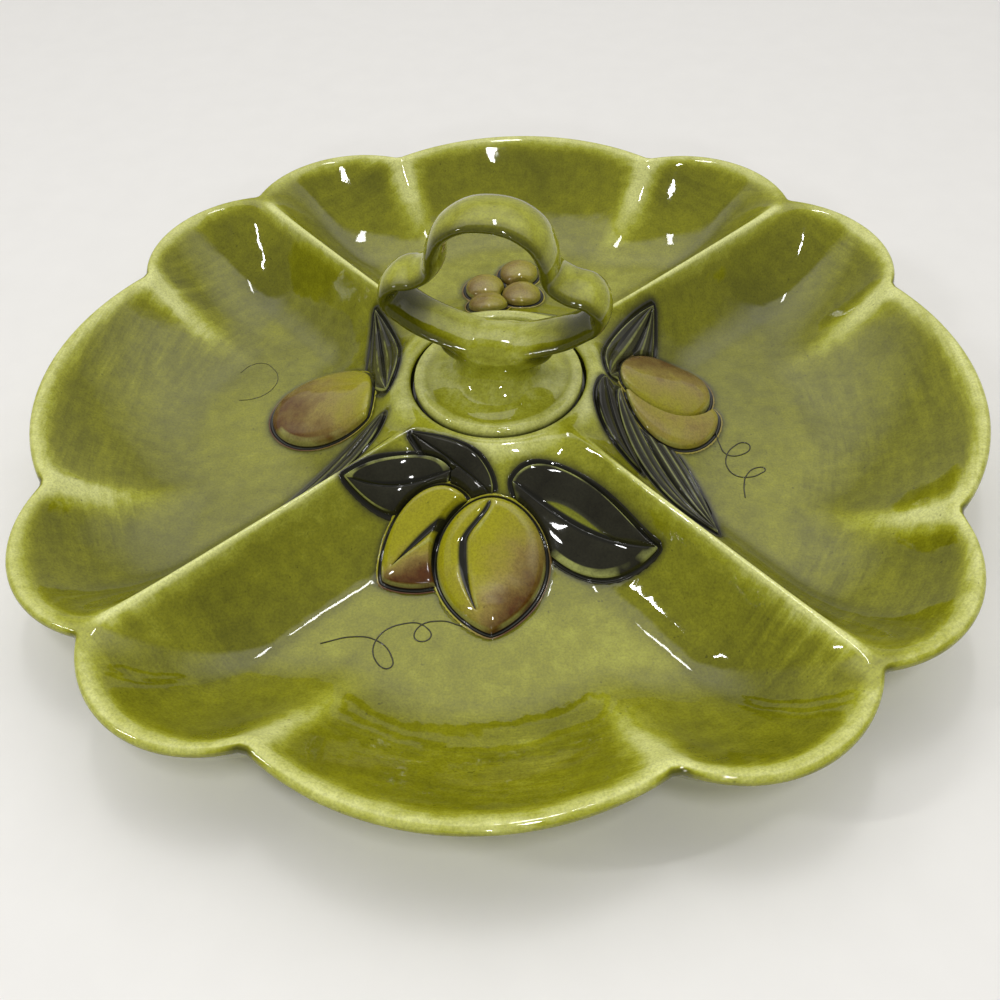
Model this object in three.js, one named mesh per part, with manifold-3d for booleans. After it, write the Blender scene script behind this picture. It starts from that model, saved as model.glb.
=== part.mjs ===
// Divided serving dish in glazed earthenware. A scalloped tray has four compartments, parted by
// four ribs that run from the rim to a raised hub. The hub holds a dip well under a loose lid with
// a looped strap handle, and fruit and leaf sprigs lie on the hub's slopes.
// Millimetres, +Z up. The origin is on the table, under the middle of the tray.

import * as THREE from 'three';
import { mergeVertices } from 'three/addons/utils/BufferGeometryUtils.js';
import Module from 'manifold-3d';

const DEG = Math.PI / 180;
const QUARTER = 90 * DEG;
const RIB_ANGLE = 45 * DEG;

// Rim outline: each compartment has one middle lobe and two corner lobes
const MIDDLE_LOBE_REACH = 173;
const MIDDLE_LOBE_RADIUS = 95;
const CORNER_LOBE_REACH = 178;
const CORNER_LOBE_RADIUS = 44.5;
const CORNER_LOBE_ANGLE = 34 * DEG;
const NOTCH_SOFTNESS = 2.5;

// Tray section
const RIM_HEIGHT = 35;
const LIP_WIDTH = 6.2;
const WALL = 7;
const BASE_GRIND = 1.2;
const RIM_COVE = 53;
const RIM_SHOULDER = 0.92;
const RIB_COVE = 28;
const RIB_SHOULDER = 0.92;
const HUB_COVE = 52;
const HUB_SHOULDER = 0.88;

// Dip well, the ledge that the lid rests on and the ring round it
const WELL_RADIUS = 27;
const WELL_FILLET = 6;
const LEDGE_WIDTH = 5.3;
const LEDGE_DEPTH = 5;
const RING_WIDTH = 4.6;
const RING_RISE = 1.2;
const RING_EDGE = 1.2;
const POCKET_WIDTH = 6;
const FOOT_CHAMFER = 3;

// Lid
const LID_CLEARANCE = 1.3;
const SEAT_GAP = 0.3;
const LID_TURN = -8 * DEG;
const BEAD_HEIGHT = 5.8;
const BEAD_WIDTH = 4.4;
const BEAD_RISE = 0.6;
const SKIRT_DEPTH = 6;
const SKIRT_WALL = 4;
const CROWN_WALL = 6;
const NECK_RADIUS = 10.5;
const NECK_HEIGHT = 13.2;
const NECK_FLARE = 1.1;
const NECK_FLARE_BEND = 80;

// Strap handle: a trefoil loop of one flat strap, standing on the neck
const STRAP_THICKNESS = 5.4;
const STRAP_DEPTH = 21;
const STRAP_ROUNDING = 2;
const LOOP_HALF_WIDTH = 37.2;
const LOOP_WIDEST_HEIGHT = 21.5;
const LOBE_TOP_HEIGHT = 30.2;
const ARCH_RADIUS = 19.2;
const ARCH_SPRING_HEIGHT = 35.5;
const NECK_BITE = 2;

// Sprigs: their places and sizes in the list further down count in SPRIG_UNIT
const SPRIG_UNIT = 1;
const SPRIG_EDGE = 1.2;
const SPRIG_ROOT = 2;
const LARGE_FRUIT_HEIGHT = 8;
const SMALL_FRUIT_HEIGHT = 6.5;
const CHERRY_DIAMETER = 17;
const LEAF_HEIGHT = 2.6;
const SPRIG_TAPER = 0.18;
const LEAF_POINT = 0.5;

// Fineness of the faceted surfaces
const RIB_COLUMNS = 7;
const AXIS_COLUMNS = 4;
const LATHE_SIDES = 36;
const LOOP_POINTS = 40;
const SPRIG_POINTS = 16;
const CURVE_STEPS = 5;
const ROUNDING_STEPS = 2;
const RIB_CROWDING = 1.5;
const MERGE_DISTANCE = 1e-4;
const ANGLE_TOLERANCE = 1e-4;
const SLOPE_STEP = 0.5;

// Where the rings of the tray's skin lie, as shares of the way from the hub's ring to the floor's edge
// and from there to the rim's crest, and where the rings of a sprig's dome lie
const HUB_RINGS = [0.05, 0.11, 0.19, 0.28, 0.38, 0.5, 0.64, 0.82];
const WALL_RINGS = [0, 0.22, 0.42, 0.6, 0.76, 0.88, 1];
const UNDER_WALL_RINGS = [0.92, 0.7, 0.45, 0.2];
const UNDER_HUB_RINGS = [0.95, 0.75, 0.58, 0.44, 0.32, 0.2];
const DOME_RINGS = [0.4, 0.75, 1];

const FLOOR_TOP = WALL;
const FLOOR_DEPTH = RIM_HEIGHT - FLOOR_TOP;
const SEAT_RADIUS = WELL_RADIUS + LEDGE_WIDTH;
const RING_CREST_RADIUS = SEAT_RADIUS + RING_WIDTH / 2;
const RING_TOP = RIM_HEIGHT + RING_RISE;
const LEDGE_TOP = RING_TOP - LEDGE_DEPTH;
const LID_BASE = LEDGE_TOP + SEAT_GAP;
const FLANGE_RADIUS = SEAT_RADIUS - LID_CLEARANCE;
const SKIRT_RADIUS = WELL_RADIUS - LID_CLEARANCE;
const NECK_TOP = LID_BASE + BEAD_HEIGHT + NECK_HEIGHT;

const wasm = await Module();
wasm.setup();

const glaze = (color, roughness) => new THREE.MeshStandardMaterial({ color, roughness, metalness: 0 });
const greenGlaze = glaze(0x7d8226, 0.22);
const leafGlaze = glaze(0x2c2f22, 0.25);
const fruitGlaze = glaze(0x96702a, 0.25);

function toSolid(geometry) {
  const bare = geometry.clone();
  bare.deleteAttribute('normal');
  bare.deleteAttribute('uv');
  const merged = mergeVertices(bare, MERGE_DISTANCE);
  return new wasm.Manifold(new wasm.Mesh({
    numProp: 3,
    vertProperties: new Float32Array(merged.attributes.position.array),
    triVerts: new Uint32Array(merged.index.array),
  }));
}

function toGeometry(solid) {
  const mesh = solid.getMesh();
  const geometry = new THREE.BufferGeometry();
  geometry.setAttribute('position', new THREE.BufferAttribute(mesh.vertProperties, 3));
  geometry.setIndex(new THREE.BufferAttribute(mesh.triVerts, 1));
  geometry.computeVertexNormals();
  return geometry;
}

// A closed skin over rings of points that start at one pole and end at another.
// Seen from the first pole, each ring runs anticlockwise.
function loft(firstPole, rings, lastPole) {
  const points = [firstPole, ...rings.flat(), lastPole];
  const count = rings[0].length;
  const at = (ring, column) => 1 + ring * count + (column % count);
  const last = points.length - 1;
  const faces = [];
  for (let column = 0; column < count; column++) {
    faces.push(0, at(0, column), at(0, column + 1));
    faces.push(last, at(rings.length - 1, column + 1), at(rings.length - 1, column));
  }
  for (let ring = 0; ring + 1 < rings.length; ring++) {
    for (let column = 0; column < count; column++) {
      faces.push(at(ring, column), at(ring + 1, column), at(ring + 1, column + 1));
      faces.push(at(ring, column), at(ring + 1, column + 1), at(ring, column + 1));
    }
  }
  const geometry = new THREE.BufferGeometry().setFromPoints(points);
  geometry.setIndex(faces);
  geometry.computeVertexNormals();
  return geometry;
}

// Rim outline

function softMax(a, b, softness) {
  const overlap = Math.max(softness - Math.abs(a - b), 0) / softness;
  return Math.max(a, b) + (overlap * overlap * softness) / 4;
}

// Angle from the nearest compartment's axis, from 0 to 45 degrees
function foldedAngle(angle) {
  const turns = angle / QUARTER;
  return Math.abs(turns - Math.round(turns)) * QUARTER;
}

// How far a ray from the middle at this angle runs until it leaves a round lobe
function lobeReach(angle, lobeAngle, reach, radius) {
  const centre = reach - radius;
  const along = centre * Math.cos(angle - lobeAngle);
  const aside = centre * Math.sin(angle - lobeAngle);
  return along + Math.sqrt(Math.max(radius * radius - aside * aside, 0));
}

const middleReach = (angle) => lobeReach(angle, 0, MIDDLE_LOBE_REACH, MIDDLE_LOBE_RADIUS);
const cornerReach = (angle, lobeAngle) =>
  lobeReach(angle, lobeAngle, CORNER_LOBE_REACH, CORNER_LOBE_RADIUS);

function rimReach(angle) {
  const folded = foldedAngle(angle);
  const corner = cornerReach(folded, CORNER_LOBE_ANGLE);
  const nextCorner = cornerReach(folded, QUARTER - CORNER_LOBE_ANGLE);
  const lobes = softMax(middleReach(folded), corner, NOTCH_SOFTNESS);
  return softMax(lobes, nextCorner, NOTCH_SOFTNESS);
}

// The angle where the middle lobe meets a corner lobe
function notchAngle() {
  let low = 0;
  let high = CORNER_LOBE_ANGLE;
  while (high - low > ANGLE_TOLERANCE) {
    const middle = (low + high) / 2;
    if (middleReach(middle) > cornerReach(middle, CORNER_LOBE_ANGLE)) {
      low = middle;
    } else {
      high = middle;
    }
  }
  return low;
}

// Height of the tray's upper surface

// Share of a wall's height from its foot (0) to its crest (1): hollow up to the shoulder, round above
function cove(share, shoulder) {
  const t = THREE.MathUtils.clamp(share, 0, 1);
  return t < shoulder ? (t * t) / shoulder : 1 - (1 - t) ** 2 / (1 - shoulder);
}

const crestRadius = (angle) => rimReach(angle) - LIP_WIDTH / 2;
const footRadius = (angle) => crestRadius(angle) - RIM_COVE;

function topHeight(radius, angle) {
  const rimShare = (radius - footRadius(angle)) / RIM_COVE;
  const ribDistance = radius * Math.sin(RIB_ANGLE - foldedAngle(angle));
  const rim = cove(rimShare, RIM_SHOULDER);
  const rib = cove(1 - ribDistance / RIB_COVE, RIB_SHOULDER);
  const hub = cove(1 - (radius - RING_CREST_RADIUS) / HUB_COVE, HUB_SHOULDER);
  const walls = FLOOR_DEPTH * (1 - (1 - rim) * (1 - rib) * (1 - hub));
  return FLOOR_TOP + walls + RING_RISE * hub;
}

function steepness(radius, angle) {
  const swing = SLOPE_STEP / radius;
  const outward = topHeight(radius + SLOPE_STEP, angle) - topHeight(radius - SLOPE_STEP, angle);
  const sideways = topHeight(radius, angle + swing) - topHeight(radius, angle - swing);
  return Math.hypot(1, outward / (2 * SLOPE_STEP), sideways / (2 * SLOPE_STEP));
}

// The underside follows the upper surface one wall below it, and is ground flat where it stands
function underHeight(radius, angle) {
  const below = topHeight(radius, angle) - WALL * steepness(radius, angle) - BASE_GRIND;
  return Math.max(below, 0);
}

// Tray

const polar = (radius, angle, height) =>
  new THREE.Vector3(radius * Math.cos(angle), radius * Math.sin(angle), height);

// Columns of the tray's skin: close together at the ribs, with one on each notch and each axis
function trayColumns() {
  const notch = notchAngle();
  const half = [];
  for (let i = 0; i < RIB_COLUMNS; i++) {
    half.push(RIB_ANGLE - (RIB_ANGLE - notch) * (i / RIB_COLUMNS) ** RIB_CROWDING);
  }
  for (let i = 0; i < AXIS_COLUMNS; i++) {
    half.push(notch * (1 - i / AXIS_COLUMNS));
  }
  const sector = [...half.map((angle) => -angle), 0, ...half.slice(1).reverse()];
  return [0, 1, 2, 3].flatMap((turn) => sector.map((angle) => angle + turn * QUARTER));
}

function trayGeometry() {
  const columns = trayColumns();
  const rings = [];
  const round = (radius, height) => {
    rings.push(columns.map((angle) => polar(radius, angle, height)));
  };
  const surface = (radiusAt, heightAt) => {
    rings.push(columns.map((angle) => polar(radiusAt(angle), angle, heightAt(radiusAt(angle), angle))));
  };
  const wallRadius = (share) => (angle) => footRadius(angle) + share * RIM_COVE;
  const floorRadius = (share) => (angle) =>
    RING_CREST_RADIUS + share * (footRadius(angle) - RING_CREST_RADIUS);

  // Well, ledge and ring, from the middle outwards
  round(WELL_RADIUS - WELL_FILLET, FLOOR_TOP);
  round(WELL_RADIUS - WELL_FILLET * (1 - Math.SQRT1_2), FLOOR_TOP + WELL_FILLET * (1 - Math.SQRT1_2));
  round(WELL_RADIUS, FLOOR_TOP + WELL_FILLET);
  round(WELL_RADIUS, LEDGE_TOP);
  round(SEAT_RADIUS, LEDGE_TOP);
  round(SEAT_RADIUS, RING_TOP - RING_EDGE);
  round(RING_CREST_RADIUS, RING_TOP);

  // Hub slope, floor and rim wall
  for (const share of HUB_RINGS) {
    surface(floorRadius(share), topHeight);
  }
  for (const share of WALL_RINGS) {
    surface(wallRadius(share), topHeight);
  }

  // Rounded lip
  const lip = LIP_WIDTH / 2;
  for (const lean of [45 * DEG, 0, -45 * DEG]) {
    rings.push(columns.map((angle) =>
      polar(crestRadius(angle) + lip * Math.cos(lean), angle, RIM_HEIGHT - lip + lip * Math.sin(lean))));
  }

  // Underside, back to the well
  for (const share of UNDER_WALL_RINGS) {
    surface(wallRadius(share), underHeight);
  }
  for (const share of UNDER_HUB_RINGS) {
    surface(floorRadius(share), underHeight);
  }
  const wellOutside = WELL_RADIUS + WALL;
  const pocketTop = (radius, angle) => underHeight(wellOutside + POCKET_WIDTH, angle);
  surface(() => wellOutside + POCKET_WIDTH, pocketTop);
  surface(() => wellOutside, pocketTop);
  round(wellOutside, FOOT_CHAMFER);
  round(wellOutside - FOOT_CHAMFER, 0);
  return loft(new THREE.Vector3(0, 0, FLOOR_TOP), rings, new THREE.Vector3(0, 0, 0));
}

// Lid

// Half section of the cap, from the hollow's top round the skirt and the bead to the neck's top
function capProfile() {
  const beadTop = LID_BASE + BEAD_HEIGHT;
  const dishTop = beadTop - BEAD_RISE;
  const beadCentre = FLANGE_RADIUS - BEAD_WIDTH / 2;
  const dishRadius = FLANGE_RADIUS - BEAD_WIDTH;
  const profile = new THREE.Path();
  profile.moveTo(0, dishTop - CROWN_WALL + SKIRT_WALL);
  profile.lineTo(NECK_RADIUS, dishTop - CROWN_WALL + SKIRT_WALL / 2);
  profile.lineTo(SKIRT_RADIUS - SKIRT_WALL, dishTop - CROWN_WALL);
  profile.lineTo(SKIRT_RADIUS - SKIRT_WALL, LID_BASE - SKIRT_DEPTH);
  profile.lineTo(SKIRT_RADIUS, LID_BASE - SKIRT_DEPTH);
  profile.lineTo(SKIRT_RADIUS, LID_BASE);
  profile.lineTo(FLANGE_RADIUS, LID_BASE);
  profile.lineTo(FLANGE_RADIUS, beadTop - BEAD_WIDTH / 2);
  profile.quadraticCurveTo(FLANGE_RADIUS, beadTop, beadCentre, beadTop);
  profile.quadraticCurveTo(dishRadius, beadTop, dishRadius, dishTop);
  profile.quadraticCurveTo(NECK_RADIUS, dishTop, NECK_RADIUS, NECK_TOP);
  profile.lineTo(0, NECK_TOP);
  return profile.getPoints(CURVE_STEPS);
}

// The neck widens along the strap and rises with it where the two are joined
function flareNeck(geometry) {
  const spots = geometry.attributes.position;
  const start = LID_BASE + BEAD_HEIGHT;
  for (let i = 0; i < spots.count; i++) {
    const up = Math.max(spots.getZ(i) - start, 0) / NECK_HEIGHT;
    const across = spots.getX(i) * (1 + NECK_FLARE * up * up);
    spots.setX(i, across);
    spots.setZ(i, spots.getZ(i) + (up * across * across) / NECK_FLARE_BEND);
  }
}

function capSolid() {
  const geometry = new THREE.LatheGeometry(capProfile(), LATHE_SIDES);
  geometry.rotateX(90 * DEG);
  flareNeck(geometry);
  return toSolid(geometry);
}

// Middle line of the trefoil strap, up one side and down the other, from its lowest point
function loopPoints() {
  const half = STRAP_THICKNESS / 2;
  const archTop = ARCH_SPRING_HEIGHT + ARCH_RADIUS;
  const right = [
    [LOOP_HALF_WIDTH * 0.51, half + (LOOP_WIDEST_HEIGHT - half) * 0.24],
    [LOOP_HALF_WIDTH * 0.85, half + (LOOP_WIDEST_HEIGHT - half) * 0.63],
    [LOOP_HALF_WIDTH, LOOP_WIDEST_HEIGHT],
    [LOOP_HALF_WIDTH * 0.91, LOBE_TOP_HEIGHT - (LOBE_TOP_HEIGHT - LOOP_WIDEST_HEIGHT) * 0.28],
    [LOOP_HALF_WIDTH * 0.7, LOBE_TOP_HEIGHT],
    [ARCH_RADIUS * 1.05, ARCH_SPRING_HEIGHT - ARCH_RADIUS * 0.04],
    [ARCH_RADIUS * 0.97, ARCH_SPRING_HEIGHT + ARCH_RADIUS * 0.34],
    [ARCH_RADIUS * Math.SQRT1_2, ARCH_SPRING_HEIGHT + ARCH_RADIUS * Math.SQRT1_2 * 1.08],
  ];
  const left = right.map(([across, up]) => [-across, up]).reverse();
  const line = [[0, half], ...right, [0, archTop], ...left];
  return line.map(([across, up]) => new THREE.Vector3(across, up, 0));
}

// Points beside the middle line: outside it for a positive distance, inside for a negative one
function loopOutline(distance) {
  const curve = new THREE.CatmullRomCurve3(loopPoints(), true, 'centripetal');
  const outline = [];
  for (let i = 0; i < LOOP_POINTS; i++) {
    const point = curve.getPointAt(i / LOOP_POINTS);
    const tangent = curve.getTangentAt(i / LOOP_POINTS);
    outline.push(new THREE.Vector2(point.x + tangent.y * distance, point.y - tangent.x * distance));
  }
  return outline;
}

function strapGeometry() {
  const shape = new THREE.Shape(loopOutline(STRAP_THICKNESS / 2));
  shape.holes.push(new THREE.Path(loopOutline(-STRAP_THICKNESS / 2)));
  const geometry = new THREE.ExtrudeGeometry(shape, {
    depth: STRAP_DEPTH - 2 * STRAP_ROUNDING,
    bevelThickness: STRAP_ROUNDING,
    bevelSize: STRAP_ROUNDING,
    bevelOffset: -STRAP_ROUNDING,
    bevelSegments: ROUNDING_STEPS,
  });
  geometry.translate(0, 0, STRAP_ROUNDING - STRAP_DEPTH / 2);
  geometry.rotateX(90 * DEG);
  geometry.translate(0, 0, NECK_TOP - NECK_BITE);
  return geometry;
}

// Sprigs. Each lies in one compartment: out is its distance from the middle of the tray, side its
// distance from the compartment's axis and turn the way that its tip points, from that axis.

const FRONT = -QUARTER;
const RIGHT = 0;
const BACK = QUARTER;
const LEFT = 2 * QUARTER;

const fruit = (name, facing, out, side, turn, length, width, height) => ({
  name,
  facing,
  out: out * SPRIG_UNIT,
  side: side * SPRIG_UNIT,
  turn: turn * DEG,
  length: length * SPRIG_UNIT,
  width: width * SPRIG_UNIT,
  height,
  point: 0,
  finish: fruitGlaze,
});
const leaf = (name, facing, out, side, turn, length, width) => ({
  ...fruit(name, facing, out, side, turn, length, width, LEAF_HEIGHT),
  point: LEAF_POINT,
  finish: leafGlaze,
});
const cherry = (name, out, side) => ({
  ...fruit(name, BACK, out, side, 0, 0, 0, SMALL_FRUIT_HEIGHT),
  length: CHERRY_DIAMETER,
  width: CHERRY_DIAMETER,
});

// In each compartment the sprigs on top come first
const sprigGroups = [
  [
    fruit('front_fruit_right', FRONT, 72.5, 2, 4, 44, 38, LARGE_FRUIT_HEIGHT),
    fruit('front_fruit_left', FRONT, 63.6, -20.5, -52, 37, 29, SMALL_FRUIT_HEIGHT),
    leaf('front_leaf_right', FRONT, 57, 32.5, 65, 54, 24),
    leaf('front_leaf_left', FRONT, 47, -31, -77, 36, 15),
    leaf('front_leaf_top', FRONT, 40.5, -13.5, -121, 34, 9),
  ],
  [
    fruit('left_fruit', LEFT, 68, -3, 150, 48, 42, LARGE_FRUIT_HEIGHT),
    leaf('left_leaf_back', LEFT, 47.5, -20, -76, 54, 13),
    leaf('left_leaf_front', LEFT, 60, 34, 41, 51, 13),
  ],
  [
    fruit('right_fruit_upper', RIGHT, 62.5, 17, -144, 39.5, 31.5, LARGE_FRUIT_HEIGHT),
    fruit('right_fruit_lower', RIGHT, 65.5, 5, 15, 37, 34, SMALL_FRUIT_HEIGHT),
    leaf('right_leaf_back', RIGHT, 50, 28, 70, 50, 15),
    leaf('right_leaf_front', RIGHT, 62, -25, -56, 62, 18),
    leaf('right_leaf_short', RIGHT, 46, -16, -68, 36, 10),
  ],
  [
    cherry('back_cherry_middle', 83, -3),
    cherry('back_cherry_left', 88, 13.5),
    cherry('back_cherry_outer', 99, -1),
    cherry('back_cherry_inner', 75, 11),
    leaf('back_leaf_left', BACK, 54, 28, 62, 40, 14),
    leaf('back_leaf_right', BACK, 54, -26, -62, 40, 14),
  ],
];

// Plan position of a point of the sprig, at a share of the way from its middle to its edge
function sprigPoint(sprig, share, angle, margin = 0) {
  const along = (sprig.length / 2 + margin) * Math.cos(angle);
  const tip = (1 - SPRIG_TAPER * Math.cos(angle)) * Math.abs(Math.sin(angle)) ** sprig.point;
  const across = (sprig.width / 2 + margin) * Math.sin(angle) * tip;
  const place = new THREE.Vector2(share * along, share * across);
  place.rotateAround(new THREE.Vector2(), sprig.turn);
  place.add(new THREE.Vector2(sprig.out, sprig.side));
  return place.rotateAround(new THREE.Vector2(), sprig.facing);
}

const onTray = (place, lift) =>
  new THREE.Vector3(place.x, place.y, topHeight(place.length(), place.angle()) + lift);

const sprigAngles = Array.from({ length: SPRIG_POINTS }, (_, i) => (i / SPRIG_POINTS) * 4 * QUARTER);

function sprigSolid(sprig) {
  const ring = (share, lift) =>
    sprigAngles.map((angle) => onTray(sprigPoint(sprig, share, angle), lift));
  const dome = (share) => SPRIG_EDGE + (sprig.height - SPRIG_EDGE) * Math.sqrt(1 - share * share);
  const rings = DOME_RINGS.map((share) => ring(share, dome(share)));
  rings.push(ring(1, -SPRIG_ROOT));
  const middle = sprigPoint(sprig, 0, 0);
  return toSolid(loft(onTray(middle, sprig.height), rings, onTray(middle, -SPRIG_ROOT)));
}

// An upright prism a little larger than the sprig, which clears a place for it in what lies under it
function sprigClearance(sprig) {
  const outline = sprigAngles.map((angle) => sprigPoint(sprig, 1, angle, SEAT_GAP));
  const geometry = new THREE.ExtrudeGeometry(new THREE.Shape(outline), {
    depth: RING_TOP + sprig.height,
    bevelEnabled: false,
  });
  return toSolid(geometry);
}

// Assembly

function addMesh(parent, name, geometry, material) {
  const mesh = new THREE.Mesh(geometry, material);
  mesh.name = name;
  parent.add(mesh);
}

const dish = new THREE.Group();
const tray = trayGeometry();
addMesh(dish, 'tray', tray, greenGlaze);

const raisedTray = toSolid(tray.clone().translate(0, 0, SEAT_GAP));
for (const group of sprigGroups) {
  group.forEach((sprig, rank) => {
    let solid = sprigSolid(sprig).subtract(raisedTray);
    for (const upper of group.slice(0, rank)) {
      solid = solid.subtract(sprigClearance(upper));
    }
    addMesh(dish, sprig.name, toGeometry(solid), sprig.finish);
  });
}

const lid = new THREE.Group();
lid.rotation.z = LID_TURN;
dish.add(lid);
const strap = strapGeometry();
const loweredStrap = toSolid(strap.clone().translate(0, 0, -SEAT_GAP));
addMesh(lid, 'lid_cap', toGeometry(capSolid().subtract(loweredStrap)), greenGlaze);
addMesh(lid, 'lid_handle', strap, greenGlaze);

export default dish;
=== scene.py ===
# %% [markdown]
# # A divided serving dish in green glaze
# The dish is cast earthenware: a scalloped tray with four compartments round a raised hub, fruit and
# leaf sprigs on the hub's slopes, and a loose lid with a strap handle bent into a trefoil. Everything
# here is soft clay under a thick, glossy glaze, so the lesson is about smooth forms and about a glaze
# that runs thin over edges and pools in hollows. Sizes are written in millimetres, as a potter would.

import math

import bpy
import numpy as np
from mathutils import Matrix


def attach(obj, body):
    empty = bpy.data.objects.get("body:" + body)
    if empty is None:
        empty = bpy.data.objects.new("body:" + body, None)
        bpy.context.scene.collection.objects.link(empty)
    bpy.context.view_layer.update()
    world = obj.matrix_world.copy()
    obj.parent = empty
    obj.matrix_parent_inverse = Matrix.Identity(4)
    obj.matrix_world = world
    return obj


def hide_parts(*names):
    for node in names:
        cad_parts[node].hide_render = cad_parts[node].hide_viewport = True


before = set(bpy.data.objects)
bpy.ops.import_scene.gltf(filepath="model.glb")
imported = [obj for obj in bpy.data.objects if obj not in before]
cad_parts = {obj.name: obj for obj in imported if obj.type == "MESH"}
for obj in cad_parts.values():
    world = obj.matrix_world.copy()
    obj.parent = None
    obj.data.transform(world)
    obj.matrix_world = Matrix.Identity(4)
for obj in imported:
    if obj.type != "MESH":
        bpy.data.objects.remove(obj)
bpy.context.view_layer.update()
MM = 0.001
DEG = math.radians(1)

# %% [markdown]
# ## Camera
# The photographer stood close and looked down at about 42 degrees. A camera that is aimed by its
# distance, elevation and a few small turns is easier to read than a list of matrix numbers, so the
# aim is built up from those, one turn after the other.

# %% Camera
LENS = 35.95
SENSOR_WIDTH = 36
NEAREST_VIEW = 0.01
CAMERA_DISTANCE = 371.08
CAMERA_ELEVATION = 41.90 * DEG
CAMERA_SWING = 6.318 * DEG
CAMERA_PAN = 0.277 * DEG
CAMERA_TILT = -6.880 * DEG
CAMERA_ROLL = -3.089 * DEG
AIM_HEIGHT = 33.17


def pick(*pieces):
    """Selects these pieces alone, the first of them as the active one."""
    bpy.ops.object.select_all(action="DESELECT")
    for piece in pieces:
        piece.select_set(True)
    if pieces:
        bpy.context.view_layer.objects.active = pieces[0]


pick()
bpy.ops.object.camera_add()
camera = bpy.context.object
camera.name = "photo_camera"
camera.data.lens = LENS
camera.data.sensor_width = SENSOR_WIDTH
camera.data.clip_start = NEAREST_VIEW
swing = Matrix.Rotation(CAMERA_SWING, 4, "Z") @ Matrix.Rotation(math.pi / 2 - CAMERA_ELEVATION, 4, "X")
aim = Matrix.Translation((0, 0, AIM_HEIGHT * MM))
step_back = Matrix.Translation((0, 0, CAMERA_DISTANCE * MM))
pan = Matrix.Rotation(CAMERA_PAN, 4, "Y") @ Matrix.Rotation(CAMERA_TILT, 4, "X")
camera.matrix_world = aim @ swing @ step_back @ pan @ Matrix.Rotation(CAMERA_ROLL, 4, "Z")
bpy.context.scene.camera = camera
bpy.context.scene.view_settings.view_transform = "Standard"
print("camera at", [round(v, 3) for v in camera.matrix_world.translation])

# %% [markdown]
# ## Nodes by hand, in code
# Every finish below is a small node tree. This helper adds one node, sets its options and fills its
# sockets, either with a plain value or with a link from another node.


# %% Node helper
def add_node(tree, kind, values=None, **options):
    node = tree.nodes.new(kind)
    for name, value in options.items():
        setattr(node, name, value)
    for socket, value in (values or {}).items():
        if isinstance(value, bpy.types.NodeSocket):
            tree.links.new(value, node.inputs[socket])
        else:
            node.inputs[socket].default_value = value
    return node


def new_material(name):
    material = bpy.data.materials.new(name)
    material.use_nodes = True
    tree = material.node_tree
    return material, tree, tree.nodes["Principled BSDF"]


def maths(tree, operation, *values):
    return add_node(tree, "ShaderNodeMath", dict(enumerate(values)), operation=operation).outputs[0]


def mix_colour(tree, share, first, second, blend="MIX"):
    values = {"Factor": share, 6: first, 7: second}
    node = add_node(tree, "ShaderNodeMix", values, data_type="RGBA", blend_type=blend)
    return node.outputs[2]


def noise(tree, vector, scale, detail=3.0, roughness=0.5):
    values = {"Vector": vector, "Scale": scale, "Detail": detail, "Roughness": roughness}
    return add_node(tree, "ShaderNodeTexNoise", values).outputs["Fac"]


def remap(tree, value, low, high, to_low=0.0, to_high=1.0):
    values = {"Value": value, "From Min": low, "From Max": high, "To Min": to_low, "To Max": to_high}
    return add_node(tree, "ShaderNodeMapRange", values).outputs[0]


def attribute(tree, name):
    return add_node(tree, "ShaderNodeAttribute", attribute_name=name).outputs["Fac"]


print("node helpers ready")

# %% [markdown]
# ## Table and light
# A glossy glaze looks the way its surroundings do. The floors of the compartments mirror a pale wall
# behind the dish, while the walls that face us mirror a darker room, so the world is pale at the back
# and dim in front, with a clear edge between the two. Narrow window lights in front, to the left and
# nearly overhead give the small crisp highlights, and a weak one low in front lights the lid's face.

# %% Floor
FLOOR_SIZE = 8.0
FLOOR_GREY = (0.77, 0.76, 0.74, 1)
FLOOR_PALE = (0.81, 0.80, 0.78, 1)
FLOOR_ROUGHNESS = 0.7
FIBRE_SCALE = 60

pick()
bpy.ops.mesh.primitive_plane_add(size=FLOOR_SIZE)
floor = bpy.context.object
floor.name = "table_top"
paper, tree, shader = new_material("pale_table")
where = add_node(tree, "ShaderNodeTexCoord").outputs["Object"]
fibre = noise(tree, where, FIBRE_SCALE, 5)
tint = mix_colour(tree, fibre, FLOOR_GREY, FLOOR_PALE)
tree.links.new(tint, shader.inputs["Base Color"])
shader.inputs["Roughness"].default_value = FLOOR_ROUGHNESS
floor.data.materials.append(paper)
print("table", FLOOR_SIZE, "m across")

# %% World and lamps
WALL_LOW_LIGHT = 0.50
WALL_HIGH_LIGHT = 1.8
ROOM_LIGHT = 0.24
CEILING_LIGHT = 0.35
VISIBLE_LIGHT = 0.9
WALL_LEAN = 0.1
WALL_EDGE = (-0.06, 0.08)
WALL_RISE = (0.5, 0.8)
ROOM_RISE = (0.2, 0.9)
WARM_WHITE = (1.0, 0.985, 0.96, 1)
WINDOW_DISTANCE = 1.3

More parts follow.
